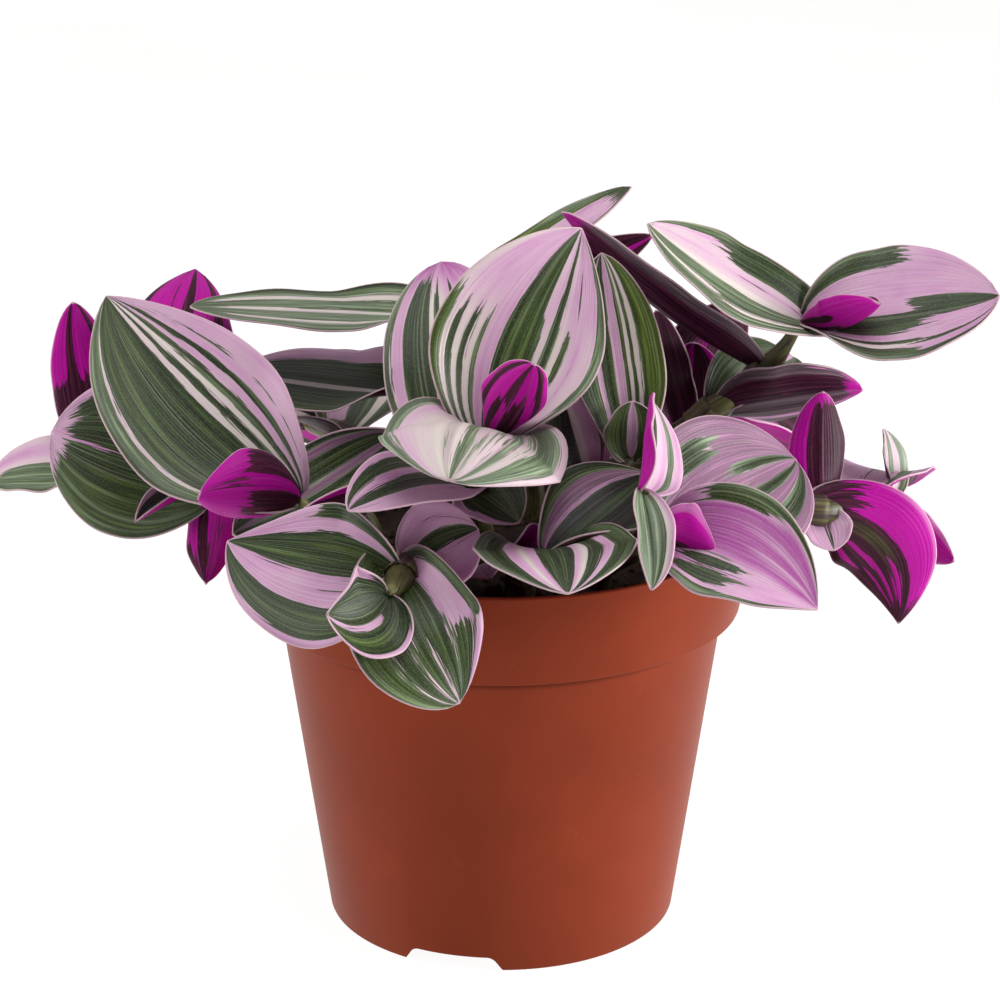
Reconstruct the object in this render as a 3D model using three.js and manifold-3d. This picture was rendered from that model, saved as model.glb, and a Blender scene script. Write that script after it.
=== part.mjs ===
// A potted tradescantia: striped, clasping leaves on leafy stems in the soil of a plain nursery pot.
// Millimetres, +Z up, the origin on the ground under the pot's axis, the front of the plant towards -Y.
import * as THREE from "three";
import { mergeVertices } from "three/addons/utils/BufferGeometryUtils.js";
import Module from "manifold-3d";

const wasm = await Module();
wasm.setup();

// Pot
const POT_HEIGHT = 99.5;
const RIM_RADIUS = 60;
const BAND_HEIGHT = 22;
const BAND_LOW_RADIUS = 56.5;
const WALL_TOP_RADIUS = 52.7;
const FOOT_RADIUS = 41.7;
const WALL = 1.6;
const LIP_ROUND = 0.7;
const FLOOR_UNDER = 5;
const FLOOR_TOP = 7;
const FLOOR_THICKNESS = FLOOR_TOP - FLOOR_UNDER;
const SKIRT_WIDTH = 3;
const PAD_RADIUS = 24;
const PAD_SLOPE = 1.5;
const FOOT_SPREAD = 0.1;
const LIP_TOP_SLOPE = 0.4;
const LIP_INNER_STEP = 0.2;
const SHOULDER_RISE = 4;
const SHOULDER_DROP = 1;
const POT_SIDES = 44;

// The notches in the foot, and the drain hole inside each
const NOTCH_HEIGHT = 3.6;
const NOTCH_TOP_HALF = 9.6;
const NOTCH_LOW_HALF = 12.6;
const NOTCH_DEPTH = 12;
const NOTCH_OVERHANG = 4;
const NOTCH_COUNT = 3;
const FIRST_NOTCH_DEG = -106;
const CUT_BEYOND = 1;
const DRAIN_RADIUS = 4.5;
const DRAIN_RING = 31;
const DRAIN_SIDES = 16;

// Soil
const SOIL_EDGE_HEIGHT = 90;
const SOIL_CROWN = 3;
const SOIL_RINGS = 3;
const SOIL_SIDES = 28;
const SEAT_GAP = 0.4;
const SOIL_INSET = 0.8;

// Stems
const STEM_RADIUS = 2.8;
const STEM_SIDES = 6;
const NODE_SWELL = 0.35;
const NODE_REACH = 7;
const RINGS_PER_SPAN = 2;

// Blades
const BLADE_THICKNESS = 0.8;
const BLADE_STATIONS = [0, 0.13, 0.33, 0.58, 0.84, 1];
const ACROSS_FLAT = 4;
const ACROSS_ROLLED = 6;
const ROLLED_FROM = 160;
const SURFACE_STEP = 0.004;
const TWIST_PIVOT = 0.4;
const TIP_HALF_WIDTH = 0.5;
const TIP_POWER = 0.68;
const BASE_POWER = 0.6;
const BASE_START = 0.01;
const CLASP_END = 0.42;
const CLASP_OFFSET = 1.5;
const LOBE = 1;
const LOBE_END = 0.35;

// Each leafy stem has a route, from its hole in the soil to its growing end, and leaves. A leaf starts at
// one point of the route and runs to its tip, and its upper side looks along face. width is its flat width,
// bow how far the midrib bulges to the upper side, and sway how far it bends sideways. cup and clasp are how
// far the blade curls up across its width, in degrees, at the middle and at the base. twist turns the blade
// along its length, lobe is how far its rounded base reaches back past the stem, and a larger point narrows
// the blade towards its tip.
const LEAFY_STEMS = [
  {
    name: "leafy_stem_left_front",
    route: [[-24, -24, 84], [-25, -25, 93], [-36, -31, 102], [-46, -29, 112.5]],
    leaves: [
      { id: "A1", at: 3, tip: [-91, 0, 151.5], face: [0.1, -0.9, 0.45],
        width: 41, bow: 3, sway: -4, cup: 60, clasp: 150, point: 0.85 },
      { id: "A2", at: 3, tip: [-67, -44, 117.5], face: [-0.4, 0.8, 0.4],
        width: 30, bow: -2, cup: 200, clasp: 200 },
    ],
  },
  {
    name: "leafy_stem_left",
    route: [[-30, 4, 84], [-32, 4, 95], [-48, 2, 107], [-67, 0, 106], [-82, 9, 104], [-95, 18, 103]],
    leaves: [
      { id: "B1", at: 3, tip: [-106, 5, 117], face: [-0.3, -0.9, 0.5],
        width: 40, bow: 3, cup: 50, clasp: 120 },
      { id: "B2", at: 3, tip: [-83, -28, 106], face: [0, -0.3, 1],
        width: 12, bow: 2, cup: 200, clasp: 170 },
      { id: "B3", at: 3, tip: [-68, -22, 89], face: [0, 0.9, 0.3],
        width: 15, bow: 2, cup: 130, clasp: 160, point: 1 },
      { id: "B4", at: 5, tip: [-125, 27, 98], face: [0, -0.5, 0.85],
        width: 19, bow: 3, cup: 50, clasp: 180 },
      { id: "B5", at: 5, tip: [-103, 30, 142], face: [-0.3, 0.9, 0.2],
        width: 18, bow: 3, cup: 60, clasp: 180 },
      { id: "B6", at: 4, tip: [-75.5, 52, 144.5], face: [0, 0.9, -0.3],
        width: 30, bow: -12, cup: 70, clasp: 90 },
    ],
  },
  {
    name: "leafy_stem_back_left",
    route: [[-8, 14, 84], [-8, 15, 96], [-20, 24, 122], [-13, 34, 138]],
    leaves: [
      { id: "C1", at: 3, tip: [-74, 21, 143], face: [0, -0.02, 1],
        width: 35, bow: 0, cup: 10, clasp: 150 },
      { id: "C2", at: 2, tip: [-65, 30, 124.5], face: [0, -0.12, 1],
        width: 38, bow: 0, cup: 10, clasp: 150 },
    ],
  },
  {
    name: "leafy_stem_centre",
    route: [[-4, -14, 84], [-4, -15, 96], [-6, -24, 113], [-3, -33, 127]],
    leaves: [
      { id: "D1", at: 3, tip: [18, -14, 171], face: [0, -0.9, 0.45],
        width: 40, bow: 2, sway: -2.5, cup: 60, clasp: 150, twist: 30, point: 0.85 },
      { id: "D2", at: 3, tip: [7, -54, 151], face: [0.2, 0.9, 0.3],
        width: 19, bow: -1, cup: 150, clasp: 300 },
      { id: "D3", at: 3, tip: [-11, -72, 130.5], face: [0.1, -0.3, 0.9],
        width: 44, bow: 8, cup: -80, clasp: 150 },
      { id: "D4", at: 2, tip: [-14, 10, 157], face: [-0.1, -0.9, 0.3],
        width: 33, bow: 6, cup: 50, clasp: 150 },
      { id: "I5", at: 2, tip: [-33, -61, 120], face: [0.1, -0.35, 0.9],
        width: 22, bow: 5, cup: 40, clasp: 150 },
      { id: "L3", at: 2, tip: [4, -43, 111], face: [0, -0.8, 0.6],
        width: 18, bow: 3, cup: 60, clasp: 180 },
    ],
  },
  {
    name: "leafy_stem_centre_left",
    route: [[-14, -6, 84], [-15, -7, 96], [-21, -18, 112], [-24, -16, 123]],
    leaves: [
      { id: "L1", at: 2, tip: [-43, -47, 116], face: [0.1, 0.8, 0.5],
        width: 16, bow: -1, cup: 90, clasp: 180 },
      { id: "L2", at: 3, tip: [-61, -28, 103], face: [0.1, -0.6, 0.8],
        width: 26, bow: -6, cup: 40, clasp: 160 },
    ],
  },
  {
    name: "leafy_stem_centre_right",
    route: [[14, 0, 84], [14, -1, 96], [20, -8, 109], [30, -12, 116]],
    leaves: [
      { id: "E1", at: 3, tip: [23, 3, 161], face: [0.1, -0.95, 0.2],
        width: 22, bow: 2, cup: 50, clasp: 150 },
      { id: "E3", at: 2, tip: [14, -5, 130], face: [0.1, -0.95, 0.3],
        width: 17, bow: 2, cup: 50, clasp: 150 },
      { id: "M4", at: 3, tip: [30, -12, 130], face: [0, -0.95, 0.3],
        width: 14, bow: 2, cup: 60, clasp: 150 },
    ],
  },
  {
    name: "leafy_stem_back",
    route: [[0, 36, 84], [0, 37, 96], [-4, 42, 118], [-12, 42, 139]],
    leaves: [
      { id: "E2", at: 3, tip: [32, 52, 165], face: [-0.25, -0.05, 1],
        width: 28, bow: -1, cup: 40, clasp: 80 },
      { id: "E4", at: 3, tip: [36, 24, 160], face: [0.2, 0.9, 0.1],
        width: 14, bow: -8, cup: 40, clasp: 150 },
    ],
  },
  {
    name: "leafy_stem_right",
    route: [[22, 10, 84], [23, 10, 96], [36, 6, 112], [50, 4, 123], [62, 4, 133], [70, 1, 146]],
    leaves: [
      { id: "F1", at: 5, tip: [33, -6, 170], face: [0, -0.4, 0.9],
        width: 29, bow: 0.5, sway: -4, cup: 40, clasp: 150, lobe: 10 },
      { id: "F2", at: 5, tip: [114, -6, 153], face: [0, -0.5, 0.85],
        width: 37.5, bow: 0, sway: 0.7, cup: 40, clasp: 150 },
      { id: "F3", at: 5, tip: [86, -12, 153], face: [0, 0.3, 0.9],
        width: 20, bow: -3, cup: 200, clasp: 280, point: 0.5 },
      { id: "F4", at: 4, tip: [14, 18, 167], face: [0.35, 0.5, 0.8],
        width: 24, bow: -3, cup: 60, clasp: 180 },
      { id: "F5", at: 3, tip: [85, 6, 127], face: [0, 0.68, 0.72],
        width: 30, bow: -1, cup: 60, clasp: 180 },
      { id: "F6", at: 3, tip: [70, 27, 129], face: [0.3, -0.2, 0.9],
        width: 20, bow: 5, cup: 40, clasp: 150 },
    ],
  },
  {
    name: "leafy_stem_back_right",
    route: [[34, 22, 84], [35, 22, 96], [44, 18, 112]],
    leaves: [
      { id: "M1", at: 2, tip: [37, 30, 140], face: [0.8, 0.5, 0],
        width: 20, bow: -2, cup: 60, clasp: 180 },
      { id: "M2", at: 2, tip: [46, 23, 134], face: [0.3, 0.9, 0],
        width: 17, bow: 3, cup: 60, clasp: 180 },
    ],
  },
  {
    name: "leafy_stem_front_right",
    route: [[22, -28, 84], [23, -30, 95], [35, -50, 111], [31, -55, 123]],
    leaves: [
      { id: "G1", at: 2, tip: [68, -68, 100], face: [0.1, -0.7, 0.7],
        width: 31, bow: 5, sway: -1.5, cup: 60, clasp: 150, point: 0.9 },
      { id: "G2", at: 2, tip: [47, -58, 109], face: [0.5, 0.5, 0.7],
        width: 26, bow: -1, cup: 230, clasp: 120 },
      { id: "G3", at: 2, tip: [67, -19, 118], face: [0, -0.8, 0.6],
        width: 38, bow: 3, cup: 40, clasp: 120 },
      { id: "G4", at: 3, tip: [33, -34, 137], face: [0.9, -0.3, 0.2],
        width: 24, bow: 1, cup: 90, clasp: 200 },
      { id: "G5", at: 3, tip: [32, -72, 106], face: [0.3, -0.9, 0.2],
        width: 11, bow: 3, cup: 110, clasp: 120 },
    ],
  },
  {
    name: "leafy_stem_front_centre",
    route: [[4, -34, 84], [5, -36, 97], [10, -47, 106]],
    leaves: [
      { id: "H1", at: 2, tip: [34, -21, 115], face: [-0.4, -0.7, 0.7],
        width: 29, bow: 3, sway: 3, cup: 80, clasp: 220 },
      { id: "H2", at: 2, tip: [14, -80, 108], face: [0.05, -0.6, 0.8],
        width: 36, bow: 5, cup: 20, clasp: 150, lobe: 12 },
      { id: "H3", at: 1, tip: [-2, -48, 100], face: [-0.3, 0.6, 0.7],
        width: 24, bow: 5, cup: 50, clasp: 160 },
    ],
  },
  {
    name: "leafy_stem_front_left",
    route: [[-16, -32, 84], [-17, -35, 95], [-20, -48, 103], [-22, -60, 104], [-24, -69, 104]],
    leaves: [
      { id: "I1", at: 3, tip: [-60, -52, 110], face: [0, -0.75, 0.65],
        width: 35, bow: 1, sway: -4, cup: 40, clasp: 150, point: 0.85 },
      { id: "I2", at: 3, tip: [-9, -78, 82.5], face: [0.1, -0.8, 0.6],
        width: 30, bow: 7, sway: 3, cup: 30, clasp: 170, lobe: 12 },
      { id: "I3", at: 4, tip: [-37, -81, 104], face: [0.1, -0.9, 0.45],
        width: 24, bow: 0, sway: -3, cup: 100, clasp: 190 },
      { id: "I4", at: 2, tip: [-5, -47, 111], face: [0, -0.8, 0.6],
        width: 22, bow: 3, cup: 40, clasp: 150 },
    ],
  },
  {
    name: "leafy_stem_right_low",
    route: [
      [30, -6, 84], [31, -7, 95], [46, -12, 107], [62, -13, 107],
      [74, -14, 104], [84, -4, 103], [93, 6, 101],
    ],
    leaves: [
      { id: "J1", at: 4, tip: [94, -6, 73], face: [0.1, 0.95, 0.1],
        width: 26, bow: 2, sway: 7, cup: 60, clasp: 180, lobe: 6, point: 0.9 },
      { id: "J2", at: 4, tip: [74, -8, 131], face: [-0.2, 0.9, 0.2],
        width: 15, bow: 2, cup: 80, clasp: 200 },
      { id: "J3", at: 4, tip: [76.5, -20, 96.3], face: [0, -0.6, 0.8],
        width: 12, bow: 1, cup: 50, clasp: 180 },
      { id: "J4", at: 6, tip: [91, 14, 115], face: [0.8, -0.5, 0.1],
        width: 14, bow: 1, cup: 60, clasp: 180 },
      { id: "J5", at: 6, tip: [108, 4, 85], face: [0.2, 0.9, 0.2],
        width: 12, bow: 1, sway: -3, cup: 60, clasp: 180 },
      { id: "J6", at: 5, tip: [97, 23, 97], face: [0, 0.1, 1],
        width: 26, bow: 6, cup: 40, clasp: 150 },
    ],
  },
  {
    name: "leafy_stem_rear_left",
    route: [[-24, 30, 84], [-26, 31, 95], [-40, 44, 104], [-50, 56, 103]],
    leaves: [
      { id: "P1", at: 3, tip: [-85, 86, 88], face: [0.1, 0.4, 0.9],
        width: 34, bow: 2, cup: 40, clasp: 150 },
      { id: "P2", at: 3, tip: [-46, 98, 84], face: [-0.3, 0.6, 0.7],
        width: 32, bow: 7, cup: 40, clasp: 150 },
      { id: "P3", at: 2, tip: [-76, 41, 111], face: [-0.4, 0, 0.9],
        width: 28, bow: 4, cup: 50, clasp: 150 },
      { id: "P4", at: 3, tip: [-58, 66, 116], face: [-0.3, 0.9, 0.3],
        width: 16, bow: 1, cup: 200, clasp: 240 },
      { id: "P5", at: 2, tip: [-30, 75, 115], face: [0.2, 0.2, 0.95],
        width: 30, bow: 4, cup: 40, clasp: 150 },
    ],
  },
  {
    name: "leafy_stem_rear",
    route: [[6, 44, 84], [6, 45, 95], [3, 54, 108], [0, 64, 110]],
    leaves: [
      { id: "Q1", at: 3, tip: [26, 106, 84], face: [-0.2, 0.7, 0.7],
        width: 36, bow: 5, cup: 40, clasp: 150 },
      { id: "Q2", at: 3, tip: [-22, 104, 92], face: [-0.1, 0.4, 0.9],
        width: 34, bow: 6, cup: 40, clasp: 150 },
      { id: "Q3", at: 2, tip: [-24, 66, 128], face: [-0.2, 0.9, 0.3],
        width: 30, bow: 4, cup: 50, clasp: 150 },
      { id: "Q4", at: 3, tip: [6, 72, 130], face: [0.2, 0.9, 0.2],
        width: 16, bow: 1, cup: 200, clasp: 240 },
      { id: "Q5", at: 2, tip: [30, 62, 117], face: [0.2, 0.6, 0.7],
        width: 26, bow: 4, cup: 50, clasp: 150 },
    ],
  },
  {
    name: "leafy_stem_rear_right",
    route: [[26, 32, 84], [28, 33, 95], [42, 43, 105], [50, 54, 106]],
    leaves: [
      { id: "R1", at: 3, tip: [78, 84, 82], face: [-0.1, 0.5, 0.8],
        width: 34, bow: 5, cup: 40, clasp: 150 },
      { id: "R2", at: 3, tip: [52, 102, 92], face: [0, 0.4, 0.9],
        width: 32, bow: 6, cup: 40, clasp: 150 },
      { id: "R3", at: 2, tip: [56, 30, 142.5], face: [-0.3, 0.9, 0.2],
        width: 24, bow: 2, cup: 40, clasp: 150 },
      { id: "R4", at: 3, tip: [50, 64, 118], face: [0.3, 0.9, 0.3],
        width: 14, bow: 1, cup: 200, clasp: 240 },
      { id: "R5", at: 2, tip: [78, 53, 91], face: [-0.1, 0.4, 0.9],
        width: 28, bow: 4, cup: 40, clasp: 150 },
    ],
  },
  {
    name: "leafy_stem_middle",
    route: [[8, 14, 84], [8, 15, 96], [6, 16, 112], [3, 14, 128]],
    leaves: [
      { id: "S1", at: 3, tip: [34, 24, 134], face: [0, 0.1, 1],
        width: 34, bow: 6, cup: 40, clasp: 150 },
      { id: "S2", at: 3, tip: [8, 47, 129], face: [0, 0.1, 1],
        width: 30, bow: 3, cup: 40, clasp: 150 },
      { id: "S3", at: 2, tip: [34, 40, 118], face: [0, 0.2, 1],
        width: 30, bow: 3, cup: 50, clasp: 150 },
    ],
  },
];

// A closed solid from rings of points: each ring is joined to the next, and both ends are capped. A blade's
// ring goes out along its upper side and back along its lower side, so a strip caps it; a stem's ring is
// capped by a fan.
function loft(rings, cap) {
  const count = rings[0].length;
  const triangles = [];
  const addQuad = (a, b, c, d) => triangles.push(a, b, c, a, c, d);
  for (let r = 0; r + 1 < rings.length; r++) {
    for (let i = 0; i < count; i++) {
      const j = (i + 1) % count;
      addQuad(r * count + i, r * count + j, (r + 1) * count + j, (r + 1) * count + i);
    }
  }
  const last = (rings.length - 1) * count;
  if (cap === "fan") {
    for (let i = 1; i + 1 < count; i++) {
      triangles.push(0, i + 1, i, last, last + i, last + i + 1);
    }
  } else {
    for (let i = 0; i + 1 < count / 2; i++) {
      addQuad(i + 1, i, count - 1 - i, count - 2 - i);
      addQuad(last + i, last + i + 1, last + count - 2 - i, last + count - 1 - i);
    }
  }
  const geometry = new THREE.BufferGeometry();
  geometry.setAttribute(
    "position",
    new THREE.Float32BufferAttribute(rings.flat().flatMap((p) => [p.x, p.y, p.z]), 3),
  );
  geometry.setIndex(triangles);
  return geometry;
}

// A geometry as a solid that can be joined and cut, and back again
function toSolid(geometry) {
  const bare = geometry.clone();
  bare.deleteAttribute("normal");
  bare.deleteAttribute("uv");
  const merged = mergeVertices(bare, 1e-4);
  const mesh = new wasm.Mesh({
    numProp: 3,
    vertProperties: new Float32Array(merged.attributes.position.array),
    triVerts: new Uint32Array(merged.index.array),
  });
  return new wasm.Manifold(mesh);
}

function toGeometry(solid) {
  const mesh = solid.getMesh();
  const geometry = new THREE.BufferGeometry();
  geometry.setAttribute("position", new THREE.BufferAttribute(new Float32Array(mesh.vertProperties), 3));
  geometry.setIndex(new THREE.BufferAttribute(new Uint32Array(mesh.triVerts), 1));
  geometry.computeVertexNormals();
  return geometry;
}

// How wide a blade is at u along it, as a share of its full width: clasping at the base, pointed at the tip
function widthShare(u, point) {
  const raw = (x) => Math.pow(1 - x, point) * Math.pow(x + BASE_START, BASE_POWER);
  const widest = (BASE_POWER - point * BASE_START) / (point + BASE_POWER);
  return raw(u) / raw(widest);
}

// The middle surface of one blade, as a function of u, from base to tip, and v, from one edge, -1, to the
// other, 1
function bladeSurface(leaf, base) {
  const tip = new THREE.Vector3(...leaf.tip);
  const axis = tip.clone().sub(base).normalize();
  const face = new THREE.Vector3(...leaf.face);
  face.addScaledVector(axis, -face.dot(axis)).normalize();
  const side = new THREE.Vector3().crossVectors(axis, face);
  const clasp = THREE.MathUtils.degToRad(leaf.clasp);
  const cup = THREE.MathUtils.degToRad(leaf.cup);
  const twist = THREE.MathUtils.degToRad(leaf.twist ?? 0);
  const start = base.clone().addScaledVector(face, -CLASP_OFFSET);
  const bend = start.clone().lerp(tip, 0.5);
  bend.addScaledVector(face, 2 * leaf.bow).addScaledVector(side, 2 * (leaf.sway ?? 0));
  const midrib = new THREE.QuadraticBezierCurve3(start, bend, tip);
  return (u, v) => {
    const along = midrib.getTangent(u);
    const up = face.clone().addScaledVector(along, -face.dot(along)).normalize();
    up.applyAxisAngle(along, twist * (u - TWIST_PIVOT));
    const across = new THREE.Vector3().crossVectors(along, up);
    const opened = THREE.MathUtils.smoothstep(u, 0, CLASP_END);
    const halfCurl = (clasp + (cup - clasp) * opened) / 2;
    const halfWidth = (leaf.width / 2) * widthShare(u, leaf.point ?? TIP_POWER);
    const radius = Math.max(TIP_HALF_WIDTH, halfWidth) / halfCurl;
    const turn = Math.abs(v) * halfCurl;
    const back = (leaf.lobe ?? LOBE) * v * v * (1 - THREE.MathUtils.smoothstep(u, 0, LOBE_END));
    return midrib
      .getPoint(u)
      .addScaledVector(across, Math.sign(v) * radius * Math.sin(turn))
      .addScaledVector(up, radius * (1 - Math.cos(turn)))
      .addScaledVector(along, -back);
  };
}

// One blade as a thin solid: its middle surface, moved half the thickness to each side
function bladeSolid(leaf, base) {
  const surface = bladeSurface(leaf, base);
  const step = SURFACE_STEP;
  const strips = leaf.cup + leaf.clasp / 4 > ROLLED_FROM ? ACROSS_ROLLED : ACROSS_FLAT;
  const rings = BLADE_STATIONS.map((u) => {
    const upper = [];
    const lower = [];
    for (let i = 0; i <= strips; i++) {
      const v = (2 * i) / strips - 1;
      const along = surface(Math.min(1, u + step), v).sub(surface(Math.max(0, u - step), v));
      const across = surface(u, Math.min(1, v + step)).sub(surface(u, Math.max(-1, v - step)));
      const offset = across.cross(along).setLength(BLADE_THICKNESS / 2);
      upper.push(surface(u, v).add(offset));
      lower.push(surface(u, v).sub(offset));
    }
    return [...upper, ...lower.reverse()];
  });
  return toSolid(loft(rings, "strip"));
}

// A stem: a round tube along its route, swollen at each node that a leaf clasps
function stemSolid(stem, grow = 0) {
  const points = stem.route.map((p) => new THREE.Vector3(...p));
  const nodes = stem.leaves.map((leaf) => points[leaf.at]);
  const curve = new THREE.CatmullRomCurve3(points, false, "centripetal");
  const steps = (points.length - 1) * RINGS_PER_SPAN;
  const up = new THREE.Vector3(0, 1, 0);
  const rings = [];
  for (let i = 0; i <= steps; i++) {
    const centre = curve.getPoint(i / steps);
    const along = curve.getTangent(i / steps);
    up.addScaledVector(along, -up.dot(along)).normalize();
    const across = new THREE.Vector3().crossVectors(along, up);
    const near = Math.min(...nodes.map((node) => centre.distanceTo(node)), NODE_REACH);
    const radius = STEM_RADIUS * (1 + NODE_SWELL * (1 - near / NODE_REACH)) + grow;
    const ring = [];
    for (let k = 0; k < STEM_SIDES; k++) {
      const angle = (2 * Math.PI * k) / STEM_SIDES;
      const point = centre.clone().addScaledVector(up, radius * Math.cos(angle));
      ring.push(point.addScaledVector(across, radius * Math.sin(angle)));
    }
    rings.push(ring);
  }
  if (grow > 0) {
    rings.unshift(rings[0].map((point) => point.clone().setZ(point.z - grow)));
  }
  return toSolid(loft(rings, "fan"));
}

// A leafy stem: the stem with its leaves' sheaths sunk into it
function leafyStem(stem) {
  let whole = stemSolid(stem);
  for (const leaf of stem.leaves) {
    whole = whole.add(bladeSolid(leaf, new THREE.Vector3(...stem.route[leaf.at])));
  }
  return whole;
}

// A surface of revolution about the pot's axis, from a profile of [radius, height] points
function turned(profile, sides) {
  const points = profile.map(([radius, height]) => new THREE.Vector2(radius, height));
  const geometry = new THREE.LatheGeometry(points, sides);
  return toSolid(geometry.rotateX(Math.PI / 2));
}

// The pot's inner radius under the rim band, at a height above the floor
function innerRadius(height) {
  const share = height / (POT_HEIGHT - BAND_HEIGHT);
  return FOOT_RADIUS + (WALL_TOP_RADIUS - FOOT_RADIUS) * share - WALL;
}

// A notch through the foot: a block with sloping ends, wider where it opens onto the ground
function notchCutter(angle) {
  const outline = new THREE.Shape([
    new THREE.Vector2(-NOTCH_LOW_HALF, -CUT_BEYOND),
    new THREE.Vector2(NOTCH_LOW_HALF, -CUT_BEYOND),
    new THREE.Vector2(NOTCH_TOP_HALF, NOTCH_HEIGHT),
    new THREE.Vector2(-NOTCH_TOP_HALF, NOTCH_HEIGHT),
  ]);
  const geometry = new THREE.ExtrudeGeometry(outline, { depth: NOTCH_DEPTH, bevelEnabled: false });
  geometry.rotateX(Math.PI / 2).translate(0, NOTCH_DEPTH - NOTCH_OVERHANG - FOOT_RADIUS, 0);
  return toSolid(geometry.rotateZ(angle + Math.PI / 2));
}

function drainCutter(angle) {
  const length = FLOOR_TOP + 2 * CUT_BEYOND;
  const geometry = new THREE.CylinderGeometry(DRAIN_RADIUS, DRAIN_RADIUS, length, DRAIN_SIDES);
  geometry.rotateX(Math.PI / 2).translate(DRAIN_RING, 0, FLOOR_TOP / 2);
  return toSolid(geometry.rotateZ(angle));
}

// The pot: a straight cone with a taller band round its rim, a foot skirt with notches, and a floor that is
// raised to a ring channel with drain holes round a middle that stands on the ground
function potSolid() {
  const bandLow = POT_HEIGHT - BAND_HEIGHT;
  const profile = [
    [0, 0],
    [PAD_RADIUS, 0],
    [PAD_RADIUS + PAD_SLOPE, FLOOR_UNDER],
    [FOOT_RADIUS - SKIRT_WIDTH, FLOOR_UNDER],
    [FOOT_RADIUS - SKIRT_WIDTH, 0],
    [FOOT_RADIUS - LIP_ROUND, 0],
    [FOOT_RADIUS + FOOT_SPREAD, LIP_ROUND],
    [WALL_TOP_RADIUS, bandLow],
    [BAND_LOW_RADIUS - LIP_ROUND, bandLow],
    [BAND_LOW_RADIUS, bandLow + LIP_ROUND],
    [RIM_RADIUS - FOOT_SPREAD, POT_HEIGHT - LIP_ROUND],
    [RIM_RADIUS - LIP_ROUND, POT_HEIGHT],
    [RIM_RADIUS - WALL + LIP_TOP_SLOPE, POT_HEIGHT],
    [RIM_RADIUS - WALL - LIP_INNER_STEP, POT_HEIGHT - LIP_ROUND],
    [BAND_LOW_RADIUS - WALL + LIP_INNER_STEP, bandLow + SHOULDER_RISE],
    [innerRadius(bandLow), bandLow - SHOULDER_DROP],
    [innerRadius(FLOOR_TOP), FLOOR_TOP],
    [PAD_RADIUS, FLOOR_TOP],
    [PAD_RADIUS - PAD_SLOPE, FLOOR_THICKNESS],
    [0, FLOOR_THICKNESS],
  ];
  let pot = turned(profile, POT_SIDES);
  for (let i = 0; i < NOTCH_COUNT; i++) {
    const angle = THREE.MathUtils.degToRad(FIRST_NOTCH_DEG + (360 * i) / NOTCH_COUNT);
    pot = pot.subtract(notchCutter(angle)).subtract(drainCutter(angle));
  }
  return pot;
}

// The soil: fills the pot to just under its rim, slightly crowned, with a plain hole for each stem
function soilSolid() {
  const bandLow = POT_HEIGHT - BAND_HEIGHT;
  const slope = (RIM_RADIUS - BAND_LOW_RADIUS) / BAND_HEIGHT;
  const edgeRadius = BAND_LOW_RADIUS - WALL + slope * (SOIL_EDGE_HEIGHT - bandLow) - SOIL_INSET;
  const profile = [
    [0, FLOOR_THICKNESS + SEAT_GAP],
    [PAD_RADIUS - PAD_SLOPE - SOIL_INSET, FLOOR_THICKNESS + SEAT_GAP],
    [PAD_RADIUS - SOIL_INSET, FLOOR_TOP + SEAT_GAP],
    [innerRadius(FLOOR_TOP) - SOIL_INSET, FLOOR_TOP + SEAT_GAP],
    [innerRadius(bandLow) - SOIL_INSET, bandLow - SHOULDER_DROP],
    [BAND_LOW_RADIUS - WALL - SOIL_INSET, bandLow + SHOULDER_RISE + SEAT_GAP],
    [edgeRadius, SOIL_EDGE_HEIGHT],
  ];
  for (let i = 1; i <= SOIL_RINGS; i++) {
    const share = 1 - i / SOIL_RINGS;
    profile.push([edgeRadius * share, SOIL_EDGE_HEIGHT + SOIL_CROWN * (1 - share * share)]);
  }
  let soil = turned(profile, SOIL_SIDES);
  for (const stem of LEAFY_STEMS) {
    soil = soil.subtract(stemSolid(stem, SEAT_GAP));
  }
  return soil;
}

// A named piece with its own finish
function piece(name, solid, color, roughness) {
  const material = new THREE.MeshStandardMaterial({ color, roughness, metalness: 0 });
  const mesh = new THREE.Mesh(toGeometry(solid), material);
  mesh.name = name;
  return mesh;
}

const plant = new THREE.Group();
plant.add(piece("pot", potSolid(), "#9c4733", 0.45));
plant.add(piece("soil", soilSolid(), "#2a211c", 0.95));
for (const stem of LEAFY_STEMS) {
  plant.add(piece(stem.name, leafyStem(stem), "#5f7a4c", 0.4));
}

export default plant;
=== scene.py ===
"""A potted tradescantia: striped, clasping leaves on leafy stems in a terracotta-coloured nursery pot.

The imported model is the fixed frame. Every piece here stands for one of its nodes, in metres, with the front
of the plant towards -Y. Lengths in the tables below are in millimetres.
"""

import math
import random
from functools import partial

import bmesh
import bpy
from mathutils import Matrix, Quaternion, Vector


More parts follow.
